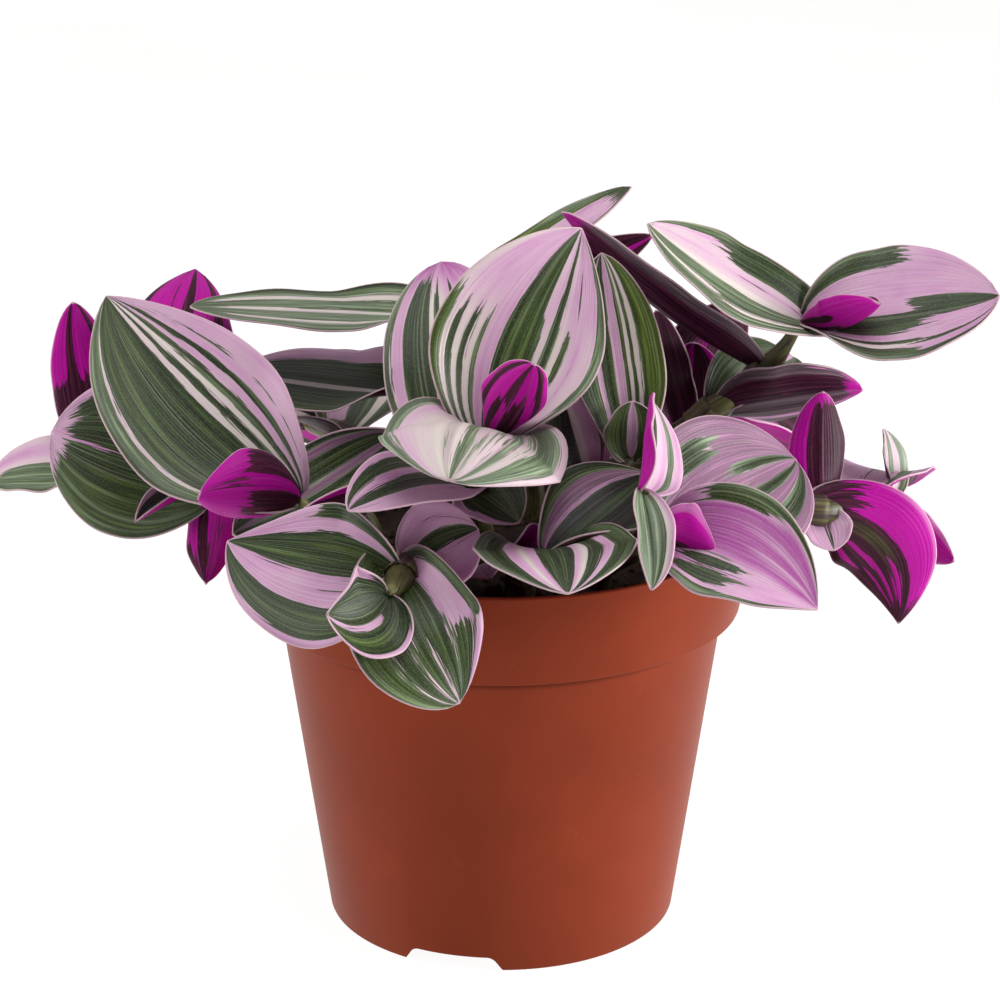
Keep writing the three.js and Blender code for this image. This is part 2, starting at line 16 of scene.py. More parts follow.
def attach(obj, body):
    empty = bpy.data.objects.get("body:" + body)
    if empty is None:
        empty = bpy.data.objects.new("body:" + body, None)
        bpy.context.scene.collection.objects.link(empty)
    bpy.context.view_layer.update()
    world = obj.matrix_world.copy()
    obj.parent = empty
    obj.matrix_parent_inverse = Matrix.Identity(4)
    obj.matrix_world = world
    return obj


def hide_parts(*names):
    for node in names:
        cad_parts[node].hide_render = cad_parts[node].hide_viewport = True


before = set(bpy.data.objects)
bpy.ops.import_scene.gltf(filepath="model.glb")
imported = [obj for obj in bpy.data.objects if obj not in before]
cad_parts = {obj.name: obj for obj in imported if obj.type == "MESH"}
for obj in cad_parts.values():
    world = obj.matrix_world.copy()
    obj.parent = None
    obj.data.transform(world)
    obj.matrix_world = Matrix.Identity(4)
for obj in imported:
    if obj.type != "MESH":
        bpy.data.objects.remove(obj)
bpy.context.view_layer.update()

bl_info = {
    "name": "Potted tradescantia",
    "version": (1, 0, 0),
    "blender": (4, 5, 0),
    "location": "3D View > Sidebar > Plant",
    "description": "Dresses the packed model of a potted tradescantia",
    "category": "Object",
}

MM = 0.001

# Settings of a node that steps smoothly, and of one that mixes colours
SMOOTHLY = {"interpolation_type": "SMOOTHSTEP"}
COLOURS = {"data_type": "RGBA"}

# The blade's surface, the same formula as the solids have
TWIST_PIVOT = 0.4
TIP_HALF_WIDTH = 0.3
TIP_POWER = 0.68
BASE_POWER = 0.6
BASE_START = 0.01
CLASP_END = 0.42
CLASP_OFFSET = 1.5
LOBE = 1.0
LOBE_END = 0.35
LEAST_CURL = 0.001
SURFACE_STEP = 0.004

# The blade's finish: how many waves its margin has, how far one margin's waves lag, the keel's width as a
# share of the blade's, how far the pale margin keeps from the tip, and how far down an underside face looks
RIPPLES = (2.0, 3.2)
RIPPLE_LAG = 1.3
KEEL_HALF = 0.07
TIP_MARGIN = 0.6
FACES_DOWN = -0.3

# Where one stripe turns into the next, as a share of the way. Where along a blade its pattern changes to
# the far one, to its end's colour and from its base's, and how strong those two are
STRIPE_EDGE = (0.2, 0.8)
TO_FAR = (0.38, 0.72)
TO_END = (0.78, 0.99)
END_SHARE = 0.85
FROM_BASE = (0.08, 0.34)
BASE_SHARE = 0.8

# The order of a leafy stem's materials
UPPER, UNDER, STEM, SHEATH, HAIR = range(5)

# Stems: a swelling at each node, and an end that tapers and closes over the last shares of the route
NODE_SWELL = 0.3
NODE_REACH = 7.0
END_TAPER = 0.6
TAPER_FROM = 0.75
CLOSE_FROM = 0.9
END_LEAST = 0.02
STEM_RINGS = 8
STEM_SIDES = 18
ROUTE_STEP = 0.01
SEAM = 0.01
# How long the streaks' pattern is from one end of a route to the other
GRAIN_LENGTH = 60.0
# A sheath's length, and the most of the last span that it may cover
SHEATH_LENGTH = 7.0
SHEATH_MOST = 0.9
SHEATH_RINGS = 6
SHEATH_RADIUS = 3.5
SHEATH_THICKNESS = 0.3
SHEATH_GAP = 0.35
HAIR_RADIUS = 0.07
HAIR_GAP = 0.1
HAIR_LEAN = (0.4, 1.0)
HAIR_LENGTHS = (0.7, 1.2)

# Pot: the profile's sizes, then the notches of the foot and the drain holes
POT_HEIGHT = 99.5
RIM_RADIUS = 60.0
BAND_HEIGHT = 22.0
BAND_LOW_RADIUS = 56.5
LIP_INNER_STEP = 0.2
SHOULDER_RISE = 4.0
SHOULDER_DROP = 1.0
WALL_TOP_RADIUS = 52.7
FOOT_RADIUS = 41.7
FLOOR_UNDER = 5.0
FLOOR_TOP = 7.0
FLOOR_THICKNESS = 2.0
SKIRT_WIDTH = 3.0
PAD_RADIUS = 24.0
PAD_SLOPE = 1.5
NOTCH_HEIGHT = 3.6
NOTCH_TOP_HALF = 9.6
NOTCH_LOW_HALF = 12.6
NOTCH_DEPTH = 12.0
NOTCH_INSET = 2.0
NOTCH_ROUNDING = 1.2
NOTCH_COUNT = 3
FIRST_NOTCH_DEG = -106
DRAIN_RADIUS = 4.5
DRAIN_RING = 31.0
DRAIN_SIDES = 40
CUT_BEYOND = 1.0
POT_SEAM = 0.005
SHARP_FROM_DEG = 38

# Soil
SOIL_EDGE_HEIGHT = 90.0
SOIL_CROWN = 3.0
SOIL_INSET = 0.6
SOIL_BELOW = 0.4
SOIL_SINK = 0.6
# How much the bumps calm down towards the edge, and how dense and how high each set of them is
SOIL_CALM = 0.6
SOIL_WAVES = ((4.1, 0.6), (9.3, 0.3), (21.7, 0.25))
# Crumbs: how far out they lie as a share of the edge's radius, their sizes, and shares of the size
CRUMB_REACH = 0.985
CRUMB_SIZES = (0.35, 1.5)
CRUMB_SIZE_POWER = 1.3
CRUMB_LIFT = 0.25
CRUMB_WIDTHS = (0.6, 1)
CRUMB_HEIGHTS = (0.4, 0.8)
CRUMB_PUSH = 0.16
CRUMB_TONE_POWER = 2.2
CRUMB_LEAST_TONE = 0.05

# Studio: the camera that the photo asks for, and each softbox's place and width in metres and its share of
# the left one's power
CAMERA_AT = (0, -0.7, 0.3398)
CAMERA_TILT_DEG = 71.23
CAMERA_SENSOR = 36.0
CAMERA_LENS = 113.04
CAMERA_SHIFT = -0.0013
CAMERA_CLIP = 0.05
FLOOR_HALF = 4.0
LIGHT_AIM = (0, 0, 0.09)
SOFTBOXES = {
    "left": ((-0.85, -0.2, 0.25), 0.7, 1.0),
    "right": ((0.85, -0.15, 0.14), 0.6, 2.7),
    "top": ((0.0, -0.1, 0.95), 0.8, 1.1),
}
# The directions in Y between which the sky goes from dim to full, and how dim it is
SKY_TURN = (-0.75, 0.1)
SKY_DIM = 0.25

# What each letter of a blade's pattern stands for, as (green, pink, lime, silver): how far the stripe is
# green rather than pale, how far its pale ground is flushed with pink, how far its green leans to
# yellow-green, and how far its green leans to grey, or its pink to a darker mauve that is painted shade.
# On the upper side, a green stripe under a full pink flush (D) is painted near black as shade.
STRIPE = {
    "G": (1.0, 0.5, 0.05, 0.0),
    "g": (0.9, 0.35, 0.25, 0.5),
    "s": (0.8, 0.25, 0.05, 1.0),
    "o": (1.0, 0.35, 0.38, 0.05),
    "l": (1.0, 0.2, 1.0, 0.1),
    "w": (0.0, 0.05, 0.1, 0.6),
    "c": (0.3, 0.1, 0.5, 0.6),
    "p": (0.05, 0.36, 0.1, 0.4),
    "P": (0.04, 0.66, 0.05, 0.2),
    "R": (0.04, 0.98, 0.05, 0.1),
    # h: pink ground darkened to mauve, painted shade
    "h": (0.04, 0.6, 0.05, 2.0),
    "x": (0.46, 0.7, 0.05, 0.0),
    "m": (0.12, 1.0, 0.0, 0.0),
    # D: maroon on the underside; on the upper side its green is painted near black as shade
    "D": (0.95, 1.0, 0.0, 0.0),
}

# Stripes for the blades that the photo doesn't show
TYPICAL = ("gPPPGGGGPxPPs", "GGgPPPGGgwgGG", "sgGGGPPpwGGGs", "PPxGGGgPPPxPP", "ggGGoGGwPPPg")


def leaf(at, tip, face, width, bow, cup, clasp, near="", **more):
    """One blade, which starts at one point of its stem's route and whose upper side looks along face.

    near gives its stripes from one edge to the other; far gives them towards the tip where they change on
    the way, and base and end are the colours of its two ends.
    """
    return {
        "at": at, "tip": tip, "face": face, "width": width, "bow": bow, "cup": cup, "clasp": clasp,
        "near": near, **more,
    }


# Each leafy stem: its route out of the soil, then its blades
LEAFY_STEMS = {
    "left_front": (
        [(-24, -24, 84), (-25, -25, 93), (-36, -31, 102), (-46, -29, 112.5)],
        leaf(3, (-91, 0, 151.5), (0.1, -0.9, 0.45), 41, 3, 60, 150, "osgwgGoGGoGoGGoGGGwGGwGPPGPPGPPP",
             sway=-4, point=0.85),
        leaf(3, (-67, -44, 117.5), (-0.4, 0.8, 0.4), 30, -2, 200, 200, "DDmDDmDD", far="mmxmmmmm"),
    ),
    "left": (
        [(-30, 4, 84), (-32, 4, 95), (-48, 2, 107), (-67, 0, 106), (-82, 9, 104), (-95, 18, 103)],
        leaf(3, (-106, 5, 117), (-0.3, -0.9, 0.5), 40, 3, 50, 120, "gogooGoGGxGGGxGGGxP", end="P"),
        leaf(3, (-83, -28, 106), (0, -0.3, 1), 12, 2, 200, 170, "PDDDDP"),
        leaf(3, (-68, -22, 89), (0, 0.9, 0.3), 15, 2, 130, 160, "mmDmxPx", far="DxDxPxP", point=1),
        leaf(5, (-125, 27, 98), (0, -0.5, 0.85), 19, 3, 50, 180, "gsgsgspPPp", end="P"),
        leaf(5, (-103, 30, 142), (-0.3, 0.9, 0.2), 18, 3, 60, 180, "DDDDDD", far="mDmmmDmm"),
        leaf(4, (-75.5, 52, 144.5), (0, 0.9, -0.3), 30, -12, 70, 90, "mDmmDmxmmD"),
    ),
    "back_left": (
        [(-8, 14, 84), (-8, 15, 96), (-20, 24, 122), (-13, 34, 138)],
        leaf(3, (-74, 21, 143), (0, -0.02, 1), 35, 0, 10, 150, "GsgswgssgswgssgwsgG", end="g"),
        leaf(2, (-65, 30, 124.5), (0, -0.12, 1), 38, 0, 10, 150, "GGGGGGwGGGGGxPP"),
    ),
    "centre": (
        [(-4, -14, 84), (-4, -15, 96), (-6, -24, 113), (-3, -33, 127)],
        leaf(3, (18, -14, 171), (0, -0.9, 0.45), 40, 2, 60, 150, "lGwGwGwgPPGoGooGwGwopxppgs",
             far="wpPPPPPPPPGoGoGpPGpPxPPPgg", sway=-2.5, twist=30, point=0.85),
        leaf(3, (7, -54, 151), (0.2, 0.9, 0.3), 19, -1, 150, 300, "mDmDDmDmDm", far="mxDmxmDxmmDm"),
        leaf(3, (-11, -72, 130.5), (0.1, -0.3, 0.9), 44, 8, -80, 150, "pssgswsspswsgwswwpwppPss"),
        leaf(2, (-14, 10, 157), (-0.1, -0.9, 0.3), 33, 6, 50, 150, "gPPGGGGwGwPGPxPGPxPP", end="m"),
        leaf(2, (-33, -61, 120), (0.1, -0.35, 0.9), 22, 5, 40, 150, "PPPxPGGxPGGP"),
        leaf(2, (4, -43, 111), (0, -0.8, 0.6), 18, 3, 60, 180, "GGgGGP"),
    ),
    "centre_left": (
        [(-14, -6, 84), (-15, -7, 96), (-21, -18, 112), (-24, -16, 123)],
        leaf(2, (-43, -47, 116), (0.1, 0.8, 0.5), 16, -1, 90, 180, "PDDDDDP", far="mDDmDDm"),
        leaf(3, (-61, -28, 103), (0.1, -0.6, 0.8), 26, -6, 40, 160, "GoGGhGoGhGoGhG"),
    ),
    "centre_right": (
        [(14, 0, 84), (14, -1, 96), (20, -8, 109), (30, -12, 116)],
        leaf(3, (23, 3, 161), (0.1, -0.95, 0.2), 22, 2, 50, 150, "GGGGoPGGoPPowowollll"),
        leaf(2, (14, -5, 130), (0.1, -0.95, 0.3), 17, 2, 50, 150, "DDGDDwPPxP"),
        leaf(3, (30, -12, 130), (0, -0.95, 0.3), 14, 2, 60, 150, "ooPoo"),
    ),
    "back": (
        [(0, 36, 84), (0, 37, 96), (-4, 42, 118), (-12, 42, 139)],
        leaf(3, (32, 52, 165), (-0.25, -0.05, 1), 28, -1, 40, 80, "llwllcllwlgg", far="sslPPPPPPPPPPsGG",
             end="G"),
        leaf(3, (36, 24, 160), (0.2, 0.9, 0.1), 14, -8, 40, 150, "DDPDDD"),
    ),
    "right": (
        [(22, 10, 84), (23, 10, 96), (36, 6, 112), (50, 4, 123), (62, 4, 133), (70, 1, 146)],
        leaf(5, (33, -6, 170), (0, -0.4, 0.9), 29, 0.5, 40, 150, "sGsgwGsgsgwppxpGGGGG",
             far="ssgGswgsgswppPppPgg", sway=-4, lobe=10),
        leaf(5, (114, -6, 153), (0, -0.5, 0.85), 37.5, 0, 40, 150, "gGGPPPPxPPPGGGxPGwGGs",
             far="PPPPPPPPGGGxPxPPGPPG", sway=0.7),
        leaf(5, (86, -12, 153), (0, 0.3, 0.9), 20, -3, 200, 280, "DmDDmDmDmm", far="mmmmxmmmmm", point=0.5),
        leaf(4, (14, 18, 167), (0.35, 0.5, 0.8), 24, -3, 60, 180, "sDDDDDDD", end="m"),
        leaf(3, (85, 6, 127), (0, 0.68, 0.72), 30, -1, 60, 180, "sDDwDDsDDDs", end="P"),
        leaf(3, (70, 27, 129), (0.3, -0.2, 0.9), 20, 5, 40, 150, "GGgPPgGG"),
    ),
    "back_right": (
        [(34, 22, 84), (35, 22, 96), (44, 18, 112)],
        leaf(2, (37, 30, 140), (0.8, 0.5, 0), 20, -2, 60, 180, "DDDxDD"),
        leaf(2, (46, 23, 134), (0.3, 0.9, 0), 17, 3, 60, 180, "DDDDDD", far="mDDmDm"),
    ),
    "front_right": (
        [(22, -28, 84), (23, -30, 95), (35, -50, 111), (31, -55, 123)],
        leaf(2, (68, -68, 100), (0.1, -0.7, 0.7), 31, 5, 60, 150, "gooRRRRRRRRxGGxGGPgs",
             far="oPRRRPRRPRRPPPxPPPPg", base="m", sway=-1.5, point=0.9),
        leaf(2, (47, -58, 109), (0.5, 0.5, 0.7), 26, -1, 230, 120, "pGoGGmmp", far="poGommmp"),
        leaf(2, (67, -19, 118), (0, -0.8, 0.6), 38, 3, 40, 120, "hhGGGhhhhGGhhhhhhhh",
             far="hhhhhhhGGhhGGhhGGGhh"),
        leaf(3, (33, -34, 137), (0.9, -0.3, 0.2), 24, 1, 90, 200, "mPPsPPGpPsP"),
        leaf(3, (32, -72, 106), (0.3, -0.9, 0.2), 11, 3, 110, 120, "PwgssGsssg"),
    ),
    "front_centre": (
        [(4, -34, 84), (5, -36, 97), (10, -47, 106)],
        leaf(2, (34, -21, 115), (-0.4, -0.7, 0.7), 29, 3, 80, 220, "GohhxDDGDDDDDDGg", sway=3),
        leaf(2, (14, -80, 108), (0.05, -0.6, 0.8), 36, 5, 20, 150, "gGGPxGGwPGGGGxPwPPGGGs", lobe=12),
        leaf(1, (-2, -48, 100), (-0.3, 0.6, 0.7), 24, 5, 50, 160, "PPPxPP"),
    ),
    "front_left": (
        [(-16, -32, 84), (-17, -35, 95), (-20, -48, 103), (-22, -60, 104), (-24, -69, 104)],
        leaf(3, (-60, -52, 110), (0, -0.75, 0.65), 35, 1, 40, 150, "PGoGoGPPxPxGoGoGPPGG",
             far="PGGoGGPPPPxGoGGGPPPP", sway=-4, point=0.85),
        leaf(3, (-9, -78, 82.5), (0.1, -0.8, 0.6), 30, 7, 30, 170, "gGPPPPxGGoGoGpGoGpGoGoog",
             far="PPGGoGpGoGpoGopGoGpooogg", sway=3, lobe=12),
        leaf(4, (-37, -81, 104), (0.1, -0.9, 0.45), 24, 0, 100, 190, "PGGGoGGPGoGGGoGGGPP", base="D",
             sway=-3),
        leaf(2, (-5, -47, 111), (0, -0.8, 0.6), 22, 3, 40, 150, "PPxPGGxPPPxP"),
    ),
    "right_low": (
        [(30, -6, 84), (31, -7, 95), (46, -12, 107), (62, -13, 107), (74, -14, 104), (84, -4, 103),
         (93, 6, 101)],
        leaf(4, (94, -6, 73), (0.1, 0.95, 0.1), 26, 2, 60, 180, "DDmDDmDDooDmmmmmmp", far="DDDmDmDxmDDmmmmmp",
             base="D", end="D", sway=7, lobe=6, point=0.9),
        leaf(4, (74, -8, 131), (-0.2, 0.9, 0.2), 15, 2, 80, 200, "DDDDDmm", end="m"),
        leaf(4, (76.5, -20, 96.3), (0, -0.6, 0.8), 12, 1, 50, 180, "PPxPP"),
        leaf(6, (91, 14, 115), (0.8, -0.5, 0.1), 14, 1, 60, 180, "spsps"),
        leaf(6, (108, 4, 85), (0.2, 0.9, 0.2), 12, 1, 60, 180, "pmmmmmp", sway=-3),
        leaf(5, (97, 23, 97), (0, 0.1, 1), 26, 6, 40, 150, "PPxPsP"),
    ),
    "rear_left": (
        [(-24, 30, 84), (-26, 31, 95), (-40, 44, 104), (-50, 56, 103)],
        leaf(3, (-85, 86, 88), (0.1, 0.4, 0.9), 34, 2, 40, 150),
        leaf(3, (-46, 98, 84), (-0.3, 0.6, 0.7), 32, 7, 40, 150),
        leaf(2, (-76, 41, 111), (-0.4, 0, 0.9), 28, 4, 50, 150),
        leaf(3, (-58, 66, 116), (-0.3, 0.9, 0.3), 16, 1, 200, 240),
        leaf(2, (-30, 75, 115), (0.2, 0.2, 0.95), 30, 4, 40, 150),
    ),
    "rear": (
        [(6, 44, 84), (6, 45, 95), (3, 54, 108), (0, 64, 110)],
        leaf(3, (26, 106, 84), (-0.2, 0.7, 0.7), 36, 5, 40, 150),
        leaf(3, (-22, 104, 92), (-0.1, 0.4, 0.9), 34, 6, 40, 150),
        leaf(2, (-24, 66, 128), (-0.2, 0.9, 0.3), 30, 4, 50, 150),
        leaf(3, (6, 72, 130), (0.2, 0.9, 0.2), 16, 1, 200, 240),
        leaf(2, (30, 62, 117), (0.2, 0.6, 0.7), 26, 4, 50, 150),
    ),
    "rear_right": (
        [(26, 32, 84), (28, 33, 95), (42, 43, 105), (50, 54, 106)],
        leaf(3, (78, 84, 82), (-0.1, 0.5, 0.8), 34, 5, 40, 150),
        leaf(3, (52, 102, 92), (0, 0.4, 0.9), 32, 6, 40, 150),
        leaf(2, (56, 30, 142.5), (-0.3, 0.9, 0.2), 24, 2, 40, 150, "DDDxDD"),
        leaf(3, (50, 64, 118), (0.3, 0.9, 0.3), 14, 1, 200, 240),
        leaf(2, (78, 53, 91), (-0.1, 0.4, 0.9), 28, 4, 40, 150),
    ),
    "middle": (
        [(8, 14, 84), (8, 15, 96), (6, 16, 112), (3, 14, 128)],
        leaf(3, (34, 24, 134), (0, 0.1, 1), 34, 6, 40, 150),
        leaf(3, (8, 47, 129), (0, 0.1, 1), 30, 3, 40, 150),
        leaf(2, (34, 40, 118), (0, 0.2, 1), 30, 3, 50, 150),
    ),
}


def colour(code):
    """An sRGB colour such as #803020 as the linear RGBA that the shaders work in."""
    channels = [int(code[i : i + 2], 16) / 255 for i in (1, 3, 5)]
    linear = [c / 12.92 if c <= 0.04045 else ((c + 0.055) / 1.055) ** 2.4 for c in channels]
    return (*linear, 1.0)


def shade(base, factor):
    """A colour made darker or lighter."""
    return (*(min(1.0, channel * factor) for channel in base[:3]), 1.0)


def mixed(first, second, share):
    """A colour that lies between two."""
    return (*(a + (b - a) * share for a, b in zip(first[:3], second[:3])), 1.0)


def shades(base):
    """The stops of a ramp from a darker to a lighter shade of a colour."""
    return [(0.0, shade(base, 0.55)), (0.5, shade(base, 1.0)), (1.0, shade(base, 2.0))]


def add_node(tree, kind, inputs=None, output=0, stops=(), **settings):
    """Adds a node with its settings, the stops of its ramp, and a value or a link for each input named.

    Returns one of its outputs.
    """
    node = tree.nodes.new("ShaderNode" + kind)
    for name, value in settings.items():
        setattr(node, name, value)
    if stops:
        elements = node.color_ramp.elements
        while len(elements) < len(stops):
            elements.new(0.5)
        for element, (position, tone) in zip(elements, stops):
            element.position = position
            element.color = tone
    for name, value in (inputs or {}).items():
        socket = node.inputs[name]
        if isinstance(value, bpy.types.NodeSocket):
            tree.links.new(value, socket)
        else:
            socket.default_value = value
    return node.outputs[output] if node.outputs else None


def new_material(name):
    """A material with an empty tree, and the function that adds a node to it."""
    material = bpy.data.materials.new(name)
    material.use_nodes = True
    material.node_tree.nodes.clear()
    return material, partial(add_node, material.node_tree)


def streaked(add, place, along, across, shift, detail, roughness):
    """Noise in streaks so many millimetres long and wide, shifted so that it differs on each blade."""
    stretch = add("Mapping", {"Vector": place, "Scale": (1 / along, 1 / across, shift)})
    pattern = {"Scale": 1.0, "Detail": detail, "Roughness": roughness}
    return add("TexNoise", {"Vector": stretch, **pattern})


def swing(add, base, noise, amount):
    """A value that noise moves up and down by half an amount."""
    centred = add("Math", {0: noise, 1: 0.5}, operation="SUBTRACT")
    return add("Math", {0: centred, 1: amount, 2: base}, operation="MULTIPLY_ADD")


def paint(add, skin, over, value, low, high, least=0.0, most=1.0):
    """Lays one colour over another, the share from least to most as a value goes from low to high."""
    reach = {"From Min": low, "From Max": high, "To Min": least, "To Max": most}
    share = add("MapRange", {"Value": value, **reach}, **SMOOTHLY)
    return add("Mix", {0: share, 6: skin, 7: over}, 2, **COLOURS)


def give_shader(material, add, inputs):
    """Ends a material's tree with its shader, with a value or a link for each input named."""
    shader = add("BsdfPrincipled", inputs)
    add("OutputMaterial", {"Surface": shader})
    return material


def blade_material(name, under, settings):
    """The skin of a blade, fleshy, with painted white glints for a faint sparkle.

    Ragged stripes run along it, with thin pale lines, a pale margin and parallel veins.
    """
    material, add = new_material(name)
    place = add("Attribute", output="Vector", attribute_name="place")
    look = add("Attribute", output="Vector", attribute_name="look")
    silver = add("Attribute", output="Fac", attribute_name="silver")
    edge = add("Attribute", output="Fac", attribute_name="edge")
    parts = add("SeparateXYZ", {"Vector": look}).node.outputs
    green, pink, lime = parts["X"], parts["Y"], parts["Z"]

    # Each one's length and width in millimetres, then its shift, detail and roughness
    streaks = streaked(add, place, 20.0, 0.9, 7.3, 3.0, 0.6)
    dashes = streaked(add, place, 9.0, 0.45, 5.1, 2.0, 0.5)
    lines = streaked(add, place, 60.0, 0.36, 3.7, 1.0, 0.4)
    clouds = streaked(add, place, 12.0, 5.0, 2.9, 2.0, 0.5)
    # The skin's cells are about 0.1 mm wide, and are drawn larger so that their sparkle shows, partly as
    # painted white glints
    cells = streaked(add, place, 0.34, 0.2, 1.3, 1.0, 0.5)

    level = swing(add, swing(add, green, streaks, 1.3), dashes, 0.7)
    flush = swing(add, swing(add, pink, clouds, 0.5), lines, 0.35)
    depth = swing(add, swing(add, 0.0, streaks, 1.5), lines, 0.3)
    depth = add("MapRange", {"Value": depth, "From Min": -0.22, "From Max": 0.34}, **SMOOTHLY)
    cream, pale, rose, magenta = settings.cream, settings.pink, settings.rose, settings.magenta
    if under:
        tones = [(0.0, pale), (0.3, mixed(pale, magenta, 0.6)), (0.65, shade(magenta, 1.06)), (1.0, magenta)]
        greens = (settings.maroon, colour("#6f5b66"), shade(settings.fresh_green, 0.8))
        line_colour, line_share, painted_glint_share, gloss = colour("#c070b4"), 0.08, 0.015, 0.15
    else:
        tones = [(0.0, cream), (0.33, mixed(cream, pale, 0.5)), (0.68, pale), (1.0, rose)]
        greens = (settings.green, settings.silver_green, settings.fresh_green)
        line_colour, line_share, painted_glint_share, gloss = colour("#c3c7ae"), 0.16, 0.07, 0.35
    ground = add("ValToRGB", {"Fac": flush}, stops=tones)
    dark, dull, fresh = (add("ValToRGB", {"Fac": depth}, stops=shades(base)) for base in greens)
    green_skin = add("Mix", {0: silver, 6: dark, 7: dull}, 2, **COLOURS)
    green_skin = add("Mix", {0: lime, 6: green_skin, 7: fresh}, 2, **COLOURS)
    if not under:
        # Painted shade: where silver passes 0.65 the pink ground darkens to a dull mauve, for blades that lie
        # in shade
        painted_shade_mauve = add("ValToRGB", {"Fac": depth}, stops=shades(colour("#754768")))
        ground = paint(add, ground, painted_shade_mauve, silver, 0.65, 1.0, most=0.75)
        # Painted shade: where a stripe's pink passes 0.9, the upper side's green turns near black, as inside
        # a cupped blade
        painted_shade_dark = add("ValToRGB", {"Fac": depth}, stops=shades(colour("#211a16")))
        green_skin = paint(add, green_skin, painted_shade_dark, pink, 0.9, 1.0)
    skin = paint(add, ground, green_skin, level, 0.47, 0.55)
    skin = paint(add, skin, line_colour, lines, 0.6, 0.68, most=line_share)
    # Painted highlights: white flecks over the cells stand in for the skin's glints
    skin = paint(add, skin, colour("#ffffff"), cells, 0.5, 0.75, most=painted_glint_share)
    skin = paint(add, skin, colour("#dcb9c4"), edge, 0.12, 0.34, least=0.75, most=0.0)

    veins = streaked(add, place, 120.0, 0.55, 1.0, 0.0, 0.5)
    height = add("Math", {0: cells, 1: 0.2, 2: veins}, operation="MULTIPLY_ADD")
    bump = add("Bump", {"Strength": 0.6, "Distance": 0.22 * MM, "Height": height})
    rough = add("Math", {0: cells, 1: 0.2, 2: 0.3}, operation="MULTIPLY_ADD")
    surface = {"Roughness": rough, "Normal": bump, "IOR": 1.45, "Specular IOR Level": gloss}
    shader = add("BsdfPrincipled", {"Base Color": skin, **surface})
    glow = add("BsdfTranslucent", {"Color": skin, "Normal": bump})
    both = add("MixShader", {0: 0.15, 1: shader, 2: glow})
    add("OutputMaterial", {"Surface": both})
    return material


def stem_material(settings):
    """A fleshy olive-green stem with purple-brown streaks along it."""
    material, add = new_material("Tradescantia stem")
    place = add("Attribute", output="Vector", attribute_name="place")
    streaks = streaked(add, place, 9.0, 0.8, 4.1, 3.0, 0.6)
    clouds = streaked(add, place, 12.0, 6.0, 2.3, 2.0, 0.5)
    depth = add("MapRange", {"Value": clouds, "From Min": 0.3, "From Max": 0.75}, **SMOOTHLY)
    skin = add("ValToRGB", {"Fac": depth}, stops=shades(settings.stem))
    skin = paint(add, skin, colour("#33201f"), streaks, 0.5, 0.62)
    bump = add("Bump", {"Strength": 0.5, "Distance": 0.2 * MM, "Height": streaks})
    return give_shader(material, add, {"Base Color": skin, "Roughness": 0.42, "Normal": bump, "IOR": 1.42})


def sheath_material():
    """The thin, papery sheath round the stem under a blade, olive with dark purple lines."""
    material, add = new_material("Leaf sheath membrane")
    place = add("Attribute", output="Vector", attribute_name="place")
    lines = streaked(add, place, 30.0, 0.7, 3.3, 2.0, 0.5)
    tones = [(0.35, colour("#35202a")), (0.5, colour("#4a3f2a")), (0.66, colour("#605838"))]
    skin = add("ValToRGB", {"Fac": lines}, stops=tones)
    bump = add("Bump", {"Strength": 0.4, "Distance": 0.1 * MM, "Height": lines})
    return give_shader(material, add, {"Base Color": skin, "Roughness": 0.5, "Normal": bump, "IOR": 1.4})


def hair_material():
    """The short, dry white hairs at a sheath's mouth, each a little lighter or darker."""
    material, add = new_material("Sheath hair")
    coords = add("TexCoord", output="Object")
    tint = add("TexNoise", {"Vector": coords, "Scale": 1 / (1.1 * MM), "Detail": 1.0})
    tones = [(0.3, colour("#d8cfc8")), (0.7, colour("#f3eeea"))]
    skin = add("ValToRGB", {"Fac": tint}, stops=tones)
    return give_shader(material, add, {"Base Color": skin, "Roughness": 0.6})


